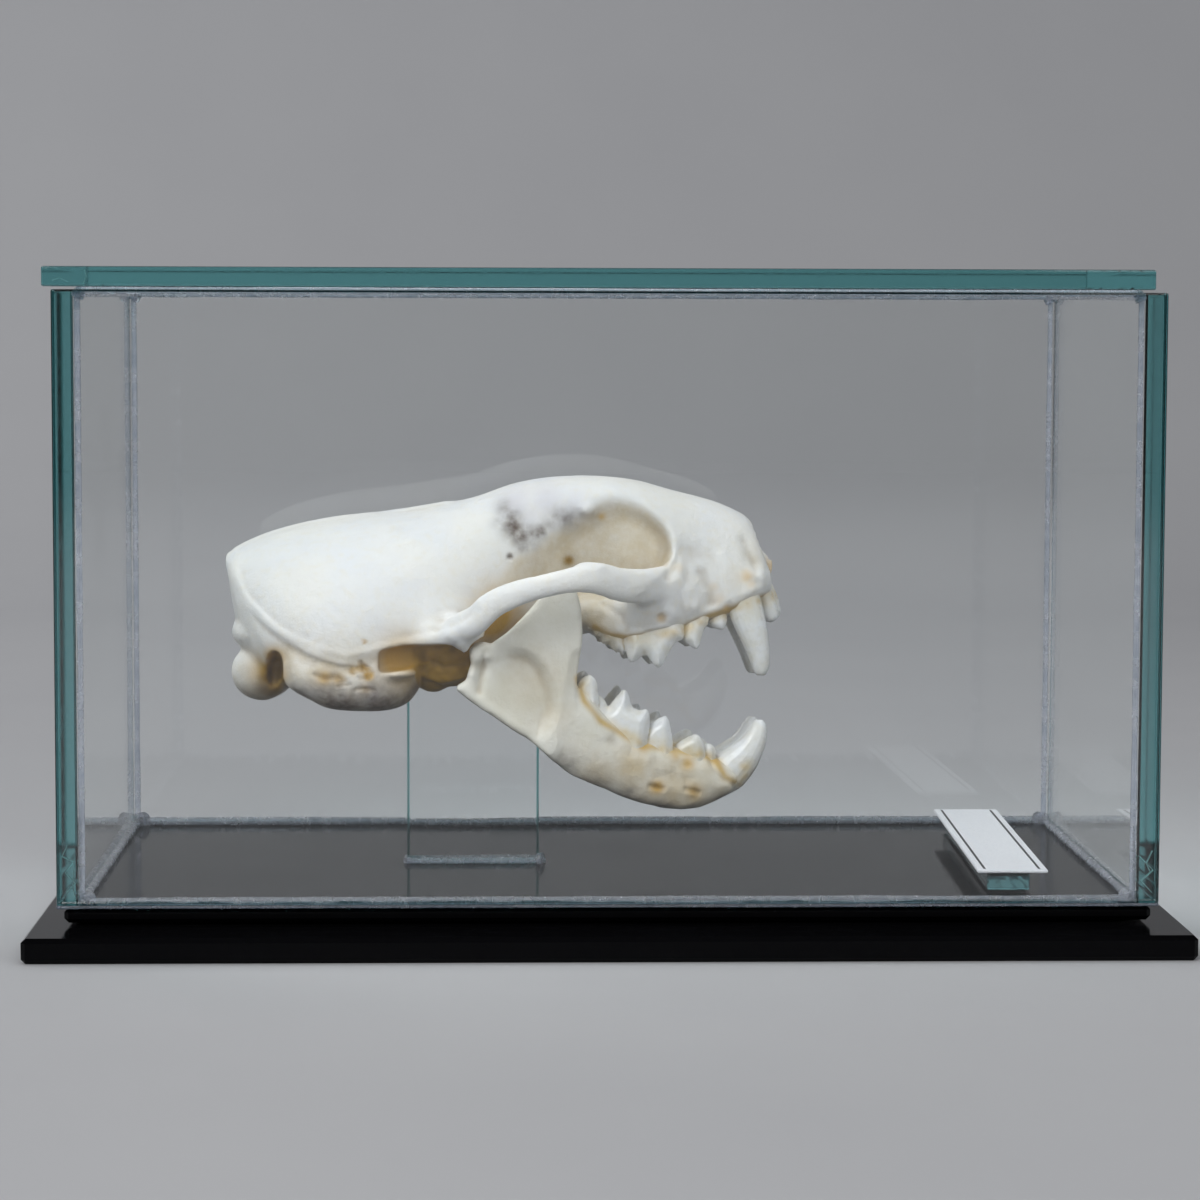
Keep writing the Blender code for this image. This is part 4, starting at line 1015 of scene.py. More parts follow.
JAW_TAN_AND_SHADE = (
    (36.8, 13.6, 22.5, 3.4, 0.5), (38.8, 13.6, 18.0, 2.2, 0.45), (55.0, 8.0, 8.4, 3.4, 0.85),
    (50.0, 10.0, 8.6, 3.2, 0.8), (45.1, 11.0, 15.1, 1.2, 0.6), (44.0, 12.0, 11.2, 2.8, 0.8),
    (58.0, 6.6, 9.0, 2.4, 0.8), (52.0, 9.6, 9.4, 5.0, 0.85), (53.6, 9.4, 11.8, 1.8, 0.7),
    (49.6, 10.8, 12.0, 1.8, 0.5), (56.6, 8.0, 11.6, 1.6, 0.6), (47.6, 10.8, 12.0, 3.0, 1.0),
    (41.6, 12.4, 14.0, 2.2, 0.35),
)
JAW_OCHRE = (
    (50.7, 10.4, 9.7, 0.8, 0.8), (55.0, 8.8, 9.2, 0.9, 0.6), (54.4, 9.2, 12.4, 0.8, 0.5),
    (29.6, 14.0, 24.8, 1.2, 0.25), (28.4, 13.6, 22.0, 0.8, 0.2), (57.8, 7.0, 12.4, 0.8, 0.5),
    (49.0, 10.6, 14.4, 0.8, 0.5), (52.9, 9.4, 13.2, 0.6, 0.4),
)
JAW_STAIN_AND_SHADE = (
    (50.7, 10.0, 9.7, 0.7, 0.8), (55.0, 8.4, 9.2, 0.8, 0.6), (39.8, 13.0, 12.4, 1.7, 0.5),
    (43.6, 12.0, 10.0, 1.8, 0.45), (47.6, 10.8, 8.3, 1.8, 0.55), (51.2, 9.4, 7.2, 1.6, 0.6),
    (54.6, 7.8, 6.8, 1.4, 0.5), (58.0, 6.2, 7.6, 1.2, 0.35), (35.4, 13.6, 15.4, 1.2, 0.25),
)
JAW_STAIN_RIGHT = (
    (48.6, 10.6, 9.0, 1.0, 0.25), (56.8, 8.0, 8.2, 1.1, 0.3), (45.3, 11.6, 15.2, 0.8, 0.25),
)


def cranium_bone():
    """Upper skull without its teeth, as one fine skin in millimetres."""
    bm = bmesh.new()
    sweep(bm, CANINE_RIDGE)
    mirror(bm)
    body(bm, CORE)
    body(bm, PALATE)
    sweep(bm, SAGITTAL_CREST)
    bone = as_object(bm, "cranium_bone")
    fuse(bone, VOXEL_ROUGH, passes=9)
    set_points(bone, press(numbers(bone)[0], EYE_SOCKET, EYE_SOCKET_DEPTH, least=4.0))
    bm = bmesh.new()
    for row in (LAMBDOID_CREST, SQUAMOSAL_SHELF, ARCH, PTERYGOID, EYE_CORNER):
        sweep(bm, row)
    for mass in MASSES:
        ball(bm, *mass)
    lobe(bm, EAR_CAPSULE)
    mirror(bm)
    joined(bone, [as_object(bm, "more")])
    fuse(bone, VOXEL_ROUGH, passes=4)
    blend(bone, BLENDED, passes=240)
    blend(bone, CHEEK, passes=110)
    cutters = cutters_of(MIDDLE_OPENINGS, (1,)) + cutters_of(PAIRED_OPENINGS, (1, -1))
    cutters.append(one_side("cutter", 1, lobe, NOSE_OPENING, fullness=2.3))
    for side in (1, -1):
        cutters.append(one_side("cutter", side, lobe, EAR_OPENING, fullness=6.0))
        cutters.append(one_side("cutter", side, jaw_head, SLACK))
    cutters.append(post_slot())
    combine(bone, cutters, "DIFFERENCE")
    bm = bmesh.new()
    for row in NOSE_SCROLLS:
        sweep(bm, row)
    mirror(bm)
    sweep(bm, NOSE_PLATE)
    joined(bone, [as_object(bm, "more")])
    fuse(bone, VOXEL, passes=2)
    thin(bone, MOST_FACES)
    keep_largest(bone)
    return bone


def finish_cranium(bone):
    """Carve the fine forms and paint the tints of the upper skull, painted shade among them."""
    set_points(bone, press(numbers(bone)[0], UNDER_EDGE, UNDER_EDGE_DEPTH, least=9.0))
    co, normals, _ = numbers(bone)
    depth = carve(co, normals, CARVING) + grooves(co, normals, GROOVES)
    depth += 0.05 * ripple(co, 3.2, seed=1) + 0.02 * ripple(co, 1.1, seed=2)
    shift(bone, co, normals, depth)
    co, normals, edges = numbers(bone)
    mottle = 0.5 + 0.5 * ripple(co, 0.7, seed=3)
    broad = 0.5 + 0.5 * ripple(co, 2.2, seed=4)
    aside = np.abs(co[:, 1])
    wall = region(co, SOCKET_TINT) * np.clip(SOCKET_WALL - aside, 0.0, 1.0)
    # Tan bone, partly painted shade on the ear capsules and the condyle's lower front.
    paint(bone, "tan", np.maximum(spots(co, TAN_AND_SHADE), 0.75 * wall) * (0.75 + 0.4 * broad))
    under = region(co, UNDERSIDE) * np.clip(BASE_WALL - aside, 0.0, 1.0)
    under *= np.clip((aside - 3.0) / 2.5, 0.3, 1.0)
    ochre = np.maximum(spots(co, OCHRE), side_spots(co, SIDE_OCHRE))
    paint(bone, "ochre", np.maximum(ochre, under) * (0.8 + 0.3 * broad))
    paint(bone, "orange", side_spots(co, ORANGE, right=True) * (0.6 + 0.7 * mottle))
    # Real stain on the right of the forehead, with painted shade grey under the ear capsules.
    blotch_and_shade = np.maximum(side_spots(co, STAIN, right=True), spots(co, DUSKY_SHADE))
    paint(bone, "stain_and_shade", blotch_and_shade * (0.7 + 0.45 * broad + 0.25 * mottle))
    paint(bone, "lilac", np.maximum(spots(co, LILAC), side_spots(co, SIDE_LILAC, right=True)))
    # Painted shade: dark ochre deep in the openings, beside the condyle, under the ear capsules and in the
    # recess under the braincase.
    paint(bone, "painted_deep_shade", np.maximum(spots(co, SHADOWED), 0.55 * under * mottle))
    gum = np.exp(-(near_path(co, UPPER_GUM) / GUM_WIDTH) ** 2) * (aside > 3.0)
    paint(bone, "gum", gum * (0.6 + 0.9 * broad))
    # Painted shade darkening the hollows and creases of the bone.
    paint(bone, "painted_hollow_shade", hollow_shade_mask(co, normals, edges, *BONE_HOLLOW_SHADE))


def jaw_bone(side):
    """One half of the lower jaw without its teeth, in millimetres."""
    bm = bmesh.new()
    bar = [(x, y, (top + low) / 2, half, (top - low) / 2) for x, top, low, y, half in JAW_BAR]
    lobe(bm, bar, steps=8, fullness=2.5)
    outline = smooth_rows(JAW_PLATE + JAW_PLATE[:1], 6)[:-1]
    rings = []
    for across in (-0.5, 0.5):
        ring = []
        for x, z in outline:
            lean = PLATE_FLARE * (PLATE_FRONT - x)
            ring.append((x, PLATE_Y + lean + PLATE_THICK * across, z))
        rings.append(ring)
    loft(bm, rings)
    jaw_head(bm, slack=0.0)
    ball(bm, *CHIN)
    if side < 0:
        other_side(bm)
    bone = as_object(bm, "jaw_bone")
    fuse(bone, VOXEL_ROUGH, passes=5)
    blend(bone, JAW_CORNER, passes=150)
    low, high = BEYOND_MIDDLE
    if side < 0:
        low, high = (low[0], -high[1], low[2]), (high[0], -low[1], high[2])
    combine(bone, cutters_of(JAW_OPENINGS, (side,)) + [box_object("beyond", low, high)], "DIFFERENCE")
    fuse(bone, VOXEL_JAW, passes=3)
    keep_largest(bone)
    return bone


def finish_jaw(bone):
    """Carve the fine forms and paint the tints of one jaw half, painted shade among them."""
    co, normals, _ = numbers(bone)
    outer = np.clip(normals[:, 1] * np.sign(co[:, 1]) * 3.0, 0.0, 1.0)
    depth = region(co, MUSCLE_HOLLOW) * np.interp(co[:, 0], *np.array(MUSCLE_HOLLOW_DEPTH).T) * outer
    depth += carve(co, normals, JAW_CARVING) + grooves(co, normals, JAW_GROOVES)
    rough = np.clip((co[:, 0] - ROUGH_FROM) / ROUGH_OVER, 0.0, 1.0)
    depth += 0.04 * ripple(co, 2.4, seed=5) + (0.02 + 0.06 * rough) * ripple(co, 1.1, seed=6)
    shift(bone, co, normals, depth)
    co, normals, edges = numbers(bone)
    broad = 0.5 + 0.5 * ripple(co, 1.8, seed=7)
    # Tan bone, partly painted shade on the jaw's body and along its lower edge.
    paint(bone, "tan", spots(co, JAW_TAN_AND_SHADE) * (0.6 + 0.6 * broad))
    paint(bone, "ochre", spots(co, JAW_OCHRE))
    # Stain, with painted shade in the jaw's small openings and along its lower edge.
    stain_and_shade = np.maximum(spots(co, JAW_STAIN_AND_SHADE), spots(co, JAW_STAIN_RIGHT, right=True))
    paint(bone, "stain_and_shade", stain_and_shade * (0.5 + broad))
    gum = np.exp(-(near_path(co, LOWER_GUM) / GUM_WIDTH) ** 2)
    paint(bone, "gum", gum * (0.5 + 0.8 * broad))
    # Painted shade darkening the hollows and creases of the bone.
    paint(bone, "painted_hollow_shade", hollow_shade_mask(co, normals, edges, *BONE_HOLLOW_SHADE))


def tooth_row(name, blades, cusps, fronts, canine, sides):
    """All the teeth of a jaw as one enamel skin each, with their roots in the bone."""
    bm = bmesh.new()
    for rows in [cusp_rows(*cusp) for cusp in cusps] + [canine]:
        tooth(bm, rows, steps=4)
    for front in fronts:
        tooth(bm, cusp_rows(*front, FRONT_PROFILE), steps=4)
    for form in blades:
        blade(bm, *form)
    if sides == (1, -1):
        mirror(bm)
    elif sides == (-1,):
        other_side(bm)
    teeth = as_object(bm, name)
    fuse(teeth, VOXEL_TOOTH, passes=3)
    thin(teeth, MOST_FACES)
    return teeth


def finish_teeth(teeth, gum_line):
    """Roughen the enamel a little and paint the necks, the worn molar and painted shade in the hollows."""
    co, normals, edges = numbers(teeth)
    shift(teeth, co, normals, 0.02 * ripple(co, 0.8, seed=8))
    neck = np.exp(-(near_path(co, gum_line) / NECK_WIDTH) ** 2)
    neck = np.maximum(neck, 0.7 * spots(co, WORN_MOLAR))
    paint(teeth, "neck", neck * (0.6 + 0.5 * ripple(co, 0.9, seed=9)))
    # Painted shade darkening the hollows between the cusps.
    paint(teeth, "painted_hollow_shade", hollow_shade_mask(co, normals, edges, *TOOTH_HOLLOW_SHADE))


def wire(tree, node, inputs):
    """Feed a node's inputs, each from a socket or with a plain value."""
    for key, value in inputs.items():
        if isinstance(value, bpy.types.NodeSocket):
            tree.links.new(value, node.inputs[key])
        else:
            node.inputs[key].default_value = value


def add(tree, kind, inputs=None, **settings):
    """One node with its settings and its inputs."""
    made = tree.nodes.new(kind)
    for key, value in settings.items():
        setattr(made, key, value)
    wire(tree, made, inputs or {})
    return made


def grain(tree, where, size, detail=4.0):
    """Noise with features of about the given size in millimetres, 0 to 1."""
    made = add(tree, "ShaderNodeTexNoise", {"Vector": where, "Scale": 1.0 / (size * MM), "Detail": detail})
    return made.outputs["Fac"]


def between(tree, value, low, high, least=0.0, most=1.0):
    """Value turned from the range low to high into the range least to most."""
    made = add(tree, "ShaderNodeMapRange", {
        "Value": value, "From Min": low, "From Max": high, "To Min": least, "To Max": most})
    return made.outputs["Result"]


def times(tree, one, two):
    return add(tree, "ShaderNodeMath", {0: one, 1: two}, operation="MULTIPLY").outputs[0]


def mixed(tree, base, hue, share):
    """Base turned towards another colour by a share from 0 to 1."""
    made = add(tree, "ShaderNodeMix", {0: share, 6: base, 7: hue}, data_type="RGBA")
    return made.outputs[2]


def painted(tree, name):
    return add(tree, "ShaderNodeAttribute", attribute_name=name).outputs["Fac"]


def bumped(tree, *layers):
    """Relief from several heights, each with its depth in millimetres."""
    normal = None
    for height, deep in layers:
        inputs = {"Height": height, "Strength": 1.0, "Distance": deep * MM}
        if normal:
            inputs["Normal"] = normal
        normal = add(tree, "ShaderNodeBump", inputs).outputs["Normal"]
    return normal


def finish(name):
    """A new material: its tree, its main shader and the piece's own coordinates."""
    made = bpy.data.materials.new(name)
    made.use_nodes = True
    tree = made.node_tree
    where = add(tree, "ShaderNodeTexCoord").outputs["Object"]
    return made, tree, tree.nodes["Principled BSDF"], where


def colour(r, g, b):
    """A colour given as the eye sees it, from 0 to 255, for a shader."""
    def linear(value):
        value /= 255
        return value / 12.92 if value <= 0.04045 else ((value + 0.055) / 1.055) ** 2.4
    return (linear(r), linear(g), linear(b), 1.0)


WHITE_BONE = colour(238, 237, 234)
COOL_BONE = colour(232, 234, 238)
WARM_BONE = colour(234, 228, 212)
IVORY = colour(229, 227, 219)
IVORY_SHADE = colour(214, 210, 195)
# Painted tints in the order in which they are laid on, with their colours. The hollow and dark tints are
# painted shade; the tan and stain tints are partly real colour and partly painted shade.
TINTS = {
    "tan": colour(202, 184, 150), "lilac": colour(214, 212, 222), "gum": colour(196, 162, 84),
    "orange": colour(222, 180, 100), "ochre": colour(202, 158, 58), "painted_hollow_shade": colour(150, 126, 84),
    "stain_and_shade": colour(98, 84, 76), "painted_deep_shade": colour(80, 58, 20),
}
CRANIUM_ONLY = ("lilac", "orange", "painted_deep_shade")


def bone_finish(name, base, shade, warm, cranium):
    """Bone in two clouded shades of colour with the painted tints over them, some of which are painted shade.
    """
    made, tree, shader, where = finish(name)
    fine = grain(tree, where, 0.9, 5.0)
    shares = {
        "tan": between(tree, fine, 0.2, 0.6, 0.7, 1.0), "lilac": 0.75, "gum": 0.85, "orange": 1.0,
        "ochre": 1.5, "painted_hollow_shade": 0.32, "painted_deep_shade": 0.8,
        "stain_and_shade": between(tree, grain(tree, where, 0.8, 5.0), 0.3, 0.6, 0.6, 1.0),
    }
    out = mixed(tree, base, shade, between(tree, grain(tree, where, 7.0, 3.0), 0.42, 0.72))
    out = mixed(tree, out, warm, times(tree, between(tree, fine, 0.5, 0.8), 0.45))
    for tint, hue in TINTS.items():
        if cranium or tint not in CRANIUM_ONLY:
            out = mixed(tree, out, hue, times(tree, painted(tree, tint), shares[tint]))
    swells, pores = grain(tree, where, 1.6, 3.0), grain(tree, where, 0.28, 3.0)
    wire(tree, shader, {
        "Base Color": out,
        "Roughness": between(tree, fine, 0.3, 0.7, 0.42, 0.56),
        "Normal": bumped(tree, (swells, 0.10), (fine, 0.05), (pores, 0.03)),
        "Specular IOR Level": 0.4,
    })
    return made


def enamel_finish():
    made, tree, shader, where = finish("enamel")
    cloud = between(tree, grain(tree, where, 2.2, 3.0), 0.4, 0.7)
    out = mixed(tree, colour(231, 233, 235), colour(220, 218, 208), cloud)
    out = mixed(tree, out, colour(208, 180, 112), times(tree, painted(tree, "neck"), 0.85))
    # Painted shade in the hollows of the teeth.
    out = mixed(tree, out, colour(190, 164, 104), times(tree, painted(tree, "painted_hollow_shade"), 0.5))
    wire(tree, shader, {
        "Base Color": out,
        "Roughness": between(tree, grain(tree, where, 0.8), 0.3, 0.7, 0.24, 0.36),
        "Normal": bumped(tree, (grain(tree, where, 0.9, 2.0), 0.03), (grain(tree, where, 0.2, 2.0), 0.008)),
        "Coat Weight": 0.3,
        "Coat Roughness": 0.12,
    })
    return made


GLASS_TINT = colour(254, 255, 255)
GLASS_DEPTH = (0.36, 0.80, 0.80, 1.0)
PANE_DENSITY = 3.5
EDGE_DENSITY = 24.0


def glass_finish(name, rough, tint, smears, density):
    """Clear glass that lets the lamps through, green along its depth."""
    made, tree, shader, where = finish(name)
    wire(tree, shader, {
        "Base Color": tint,
        "Roughness": between(tree, grain(tree, where, smears, 4.0), 0.45, 0.75, rough, rough + 0.05),
        "Transmission Weight": 1.0,
        "IOR": 1.5,
    })
    path = add(tree, "ShaderNodeLightPath")
    clear = add(tree, "ShaderNodeBsdfTransparent", {"Color": tint})
    both = add(tree, "ShaderNodeMixShader", {
        0: path.outputs["Is Shadow Ray"], 1: shader.outputs[0], 2: clear.outputs[0]})
    inside = add(tree, "ShaderNodeVolumeAbsorption", {"Color": GLASS_DEPTH, "Density": density})
    wire(tree, tree.nodes["Material Output"], {"Surface": both.outputs[0], "Volume": inside.outputs[0]})
    return made


def sealant_finish():
    made, tree, shader, where = finish("sealant")
    cloud = grain(tree, where, 1.4, 4.0)
    hue = mixed(tree, colour(206, 214, 228), colour(232, 234, 244), between(tree, cloud, 0.35, 0.65))
    wire(tree, shader, {
        "Base Color": hue,
        "Roughness": between(tree, cloud, 0.3, 0.7, 0.16, 0.32),
        "Normal": bumped(tree, (grain(tree, where, 2.4, 2.0), 0.05)),
        "Transmission Weight": 0.82,
        "IOR": 1.4,
    })
    return made


def crack_finish():
    made, tree, shader, where = finish("crack")
    wire(tree, shader, {
        "Base Color": mixed(tree, colour(190, 236, 232), colour(232, 248, 248), grain(tree, where, 0.5, 2.0)),
        "Roughness": 0.25,
        "Transmission Weight": 0.5,
        "IOR": 1.1,
    })
    return made


def black_finish():
    made, tree, shader, where = finish("black_gloss")
    dust = between(tree, grain(tree, where, 0.45, 2.0), 0.72, 0.8)
    wire(tree, shader, {
        "Base Color": mixed(tree, colour(9, 9, 11), colour(46, 47, 52), times(tree, dust, 0.5)),
        "Roughness": between(tree, grain(tree, where, 9.0, 5.0), 0.4, 0.7, 0.09, 0.17),
        "Normal": bumped(tree, (grain(tree, where, 14.0, 2.0), 0.012)),
        "Specular IOR Level": 0.06,
    })
    return made


def card_finish():
    made, tree, shader, where = finish("card")
    fibre = grain(tree, where, 0.25, 4.0)
    hue = mixed(tree, colour(236, 237, 242), colour(224, 226, 233), between(tree, fibre, 0.4, 0.65))
    wire(tree, shader, {
        "Base Color": hue,
        "Roughness": 0.32,
        "Normal": bumped(tree, (fibre, 0.01)),
    })
    return made


def ink_finish():
    made, tree, shader, where = finish("ink")
    wire(tree, shader, {
        "Base Color": mixed(tree, colour(16, 16, 20), colour(34, 34, 40), grain(tree, where, 0.3, 3.0)),
        "Roughness": 0.4,
    })
    return made


PANE_EASE = 0.25       # ground edge of the glass
FLAT = 0.99
CARD_TURN = -1.6
CARD_SIZE = (8.0, 48.0)
CARD_EASE = 0.08
STRIP_SIZE = (4.9, 47.0)
RULE_AT = (0.9, 7.1)   # ruled lines, from the left edge of the card
RULE_WIDE = 0.28
RULE_THICK = 0.03
RULE_SHORTER = 1.6

# Sealant: spacing of its rings, then how far the beads lie from the glass and how thick they are
BEAD_SPACING = 0.45
BEAD_OFF = 0.45
ROOF_BEAD_OFF = 0.4
FLOOR_BEAD = 0.5
ROOF_BEAD = 0.4
CORNER_BEAD = 0.34
FLOOR_BLOB = (0.9, 0.3, 0.95)    # reach inwards, rise and thickness
ROOF_BLOB = (0.4, 0.8, 0.7)
RIM = (60.85, 32.85)             # where the panes stand on the plinth
RIM_LIFT = 0.15
RIM_BEAD = 0.2
FOOT_LIFT = 0.3
FOOT_BEAD = 0.42
FOOT_BLOB = 0.85
FOOT_BLOB_LIFT = 0.4
FOOT_BLOB_RUN = (0.5, -0.2, 0.1)

FLAW_INSET = 0.12
FLAW_THICK = 0.07
# Cracks in the glass: pane, counted from its right edge, path (share of the edge's width or
# millimetres along the top pane, height) and how far back it runs
FLAWS = (
    ("pane_left", False, ((0.45, 6.4), (0.2, 5.2), (0.8, 4.6), (0.35, 3.4), (0.85, 2.2), (0.4, 1.2)), 0.9),
    ("pane_left", False, ((0.8, 4.6), (0.72, 1.6), (0.86, 0.4)), 0.7),
    ("pane_right", True, ((0.85, 5.0), (0.15, 3.4), (0.75, 2.2), (0.2, 0.9)), 0.9),
    ("pane_right", True, ((0.2, 5.6), (0.5, 4.2), (0.3, 3.2)), 0.6),
    ("pane_top", False, ((4.6, 0.3), (4.9, 1.1), (4.7, 1.8)), 0.8),
    ("pane_top", False, ((1.2, 0.6), (2.0, 0.9), (2.9, 0.5)), 0.6),
)


def settle(piece, node=None):
    """Say which body a finished piece belongs to and which solid it replaces."""
    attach(piece, "root")
    if node:
        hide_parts(node)


def in_metres(piece, *finishes):
    """Turn a piece drawn in millimetres into metres and give it its materials."""
    piece.data.transform(Matrix.Scale(MM, 4))
    for used in finishes:
        piece.data.materials.append(used)


def glass_piece(name, node, glass, edge):
    """A pane, post or strip of glass with ground edges, in the place of its solid."""
    low, high = box_of(node)
    size = high - low
    thin_way = min(range(3), key=lambda k: size[k])
    turn = 0.0
    if node == "label_block":
        size = Vector((*STRIP_SIZE, size.z))
        turn = math.radians(CARD_TURN)
    place = Matrix.Translation((low + high) / 2) @ Matrix.Rotation(turn, 4, "Z")
    bm = bmesh.new()
    bmesh.ops.create_cube(bm, size=1.0, matrix=place @ Matrix.Diagonal((*size, 1.0)))
    bmesh.ops.bevel(bm, geom=bm.edges[:], offset=PANE_EASE, segments=2, profile=0.6, affect="EDGES")
    for face in bm.faces:
        face.material_index = 0 if abs(face.normal[thin_way]) > FLAT else 1
    piece = as_object(bm, name)
    in_metres(piece, glass, edge)
    settle(piece, node)


def bead_tree(finish_used):
    """Sealant run along every edge of the given lines, uneven in width."""
    tree = bpy.data.node_groups.new("sealant_run", "GeometryNodeTree")
    face = tree.interface
    face.new_socket("Geometry", in_out="INPUT", socket_type="NodeSocketGeometry")
    starts = {"Spacing": BEAD_SPACING * MM, "Unevenness": 0.16, "Lump size": 9.0 * MM, "Seed": 3.0}
    for label, start in starts.items():
        face.new_socket(label, in_out="INPUT", socket_type="NodeSocketFloat").default_value = start
    face.new_socket("Geometry", in_out="OUTPUT", socket_type="NodeSocketGeometry")
    given = tree.nodes.new("NodeGroupInput").outputs
    line = add(tree, "GeometryNodeMeshToCurve", {"Mesh": given["Geometry"]})
    points = add(tree, "GeometryNodeResampleCurve", {
        "Curve": line.outputs[0], "Length": given["Spacing"]}, mode="LENGTH")
    spot = add(tree, "GeometryNodeInputPosition").outputs[0]
    scale = add(tree, "ShaderNodeMath", {0: 1.0, 1: given["Lump size"]}, operation="DIVIDE").outputs[0]
    lump = add(tree, "ShaderNodeTexNoise", {
        "Vector": spot, "W": given["Seed"], "Scale": scale, "Detail": 3.0}, noise_dimensions="4D")
    swing = between(tree, lump.outputs["Fac"], 0.3, 0.7, -1.0, 1.0)
    uneven = add(tree, "ShaderNodeMath", {0: swing, 1: given["Unevenness"], 2: 1.0}, operation="MULTIPLY_ADD")
    thick = add(tree, "GeometryNodeInputNamedAttribute", {"Name": "thickness"}, data_type="FLOAT")
    radius = times(tree, uneven.outputs[0], thick.outputs["Attribute"])
    sized = add(tree, "GeometryNodeSetCurveRadius", {"Curve": points.outputs[0], "Radius": radius})
    ring = add(tree, "GeometryNodeCurvePrimitiveCircle", {"Resolution": 10, "Radius": 1.0})
    width = add(tree, "GeometryNodeInputRadius")
    tube = add(tree, "GeometryNodeCurveToMesh", {
        "Curve": sized.outputs[0], "Profile Curve": ring.outputs[0], "Scale": width.outputs[0],
        "Fill Caps": True})
    soft = add(tree, "GeometryNodeSetShadeSmooth", {0: tube.outputs[0]})
    real = add(tree, "GeometryNodeRealizeInstances", {0: soft.outputs[0]})
    done = add(tree, "GeometryNodeSetMaterial", {"Geometry": real.outputs[0], "Material": finish_used})
    add(tree, "NodeGroupOutput", {0: done.outputs[0]})
    return tree


def loop_runs(corners, height, thick):
    """Beads round a closed line of corners at one height."""
    runs = []
    for (x, y), (u, v) in zip(corners, corners[1:] + corners[:1]):
        runs.append(((x, y, height), (u, v, height), thick))
    return runs


def sealant(finish_used):
    """Beads in the inner corners of the case and round the foot of the post."""
    left = box_of("pane_left")[1].x + BEAD_OFF
    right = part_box("pane_right")[0].x / MM - BEAD_OFF
    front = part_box("pane_front")[1].y / MM + BEAD_OFF
    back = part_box("pane_back")[0].y / MM - BEAD_OFF
    foot, roof = FLOOR + BEAD_OFF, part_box("pane_top")[0].z / MM - ROOF_BEAD_OFF
    corners = ((left, front), (right, front), (right, back), (left, back))
    runs = loop_runs(corners, foot, FLOOR_BEAD) + loop_runs(corners, roof, ROOF_BEAD)
    for x, y in corners:
        runs.append(((x, y, foot), (x, y, roof), CORNER_BEAD))
        inward_x, inward_y = -math.copysign(1.0, x), -math.copysign(1.0, y)
        reach, rise, thick = FLOOR_BLOB
        runs.append(((x, y, foot), (x + inward_x * reach, y + inward_y * reach, foot + rise), thick))
        reach, rise, thick = ROOF_BLOB
        runs.append(((x, y, roof - rise), (x + inward_x * reach, y, roof), thick))
    side, deep = RIM
    rim = ((-side, -deep), (side, -deep), (side, deep), (-side, deep))
    runs += loop_runs(rim, FLOOR + RIM_LIFT, RIM_BEAD)
    low, high = box_of("post")
    ring = ((low.x, low.y), (high.x, low.y), (high.x, high.y), (low.x, high.y))
    runs += loop_runs(ring, FLOOR + FOOT_LIFT, FOOT_BEAD)
    start = Vector((high.x, low.y, FLOOR + FOOT_BLOB_LIFT))
    runs.append((start, start + Vector(FOOT_BLOB_RUN), FOOT_BLOB))
    bm = bmesh.new()
    layer = bm.verts.layers.float.new("thickness")
    for start, end, thick in runs:
        verts = [bm.verts.new(Vector(p) * MM) for p in (start, end)]
        for vert in verts:
            vert[layer] = thick * MM
        bm.edges.new(verts)
    piece = as_object(bm, "sealant_beads")
    run = piece.modifiers.new("run", "NODES")
    run.node_group = bead_tree(finish_used)
    apply_modifiers(piece)
    settle(piece)


def flaws(finish_used):
    """Fine cracks just inside the edges of the glass, as thin bent sheets."""
    bm = bmesh.new()
    for node, flip, path, deep in FLAWS:
        low, high = box_of(node)
        across = high.x - low.x if node != "pane_top" else 1.0
        points = []
        for u, v in path:
            x = high.x - u * across if flip else low.x + u * across
            points.append(Vector((x, low.y + FLAW_INSET, low.z + v)))
        for a, b in zip(points, points[1:]):
            along = (b - a).normalized()
            aside = Vector((along.z, 0.0, -along.x)) * FLAW_THICK / 2
            corners = []
            for back in (0.0, deep):
                for end in (a, b):
                    for way in (-1, 1):
                        corners.append(bm.verts.new(end + aside * way + Vector((0.0, back, 0.0))))
            bmesh.ops.convex_hull(bm, input=corners)
    piece = as_object(bm, "glass_flaws")
    in_metres(piece, finish_used)
    settle(piece)


def label(card, ink):
    """Plain card on its strip, with a ruled line along each long edge."""
    low, high = box_of("label_card")
    wide, long = CARD_SIZE
    turn = Matrix.Translation((low + high) / 2) @ Matrix.Rotation(math.radians(CARD_TURN), 4, "Z")
    bm = bmesh.new()
    bmesh.ops.create_cube(bm, size=1.0, matrix=turn @ Matrix.Diagonal((wide, long, high.z - low.z, 1.0)))
    bmesh.ops.bevel(bm, geom=bm.edges[:], offset=CARD_EASE, segments=2, affect="EDGES")
    piece = as_object(bm, "card")
    in_metres(piece, card)
    settle(piece, "label_card")
    bm = bmesh.new()
    for at in RULE_AT:
        spot = Matrix.Translation((at - wide / 2, 0.0, (high.z - low.z) / 2))
        size = Matrix.Diagonal((RULE_WIDE, long - RULE_SHORTER, RULE_THICK, 1.0))
        bmesh.ops.create_cube(bm, size=1.0, matrix=turn @ spot @ size)
    rules = as_object(bm, "card_rules")
    in_metres(rules, ink)
    settle(rules)


def smooth_piece(obj, finish_used, node):
    """Put a finished piece of the skull in its place in the case, with its material."""
    lift = Matrix.Scale(MM, 4) @ Matrix.Translation((0.0, 0.0, FLOOR))
    obj.data.transform(lift @ pose_matrix())
    obj.data.materials.clear()
    obj.data.materials.append(finish_used)
    obj.data.shade_smooth()
    settle(obj, node)


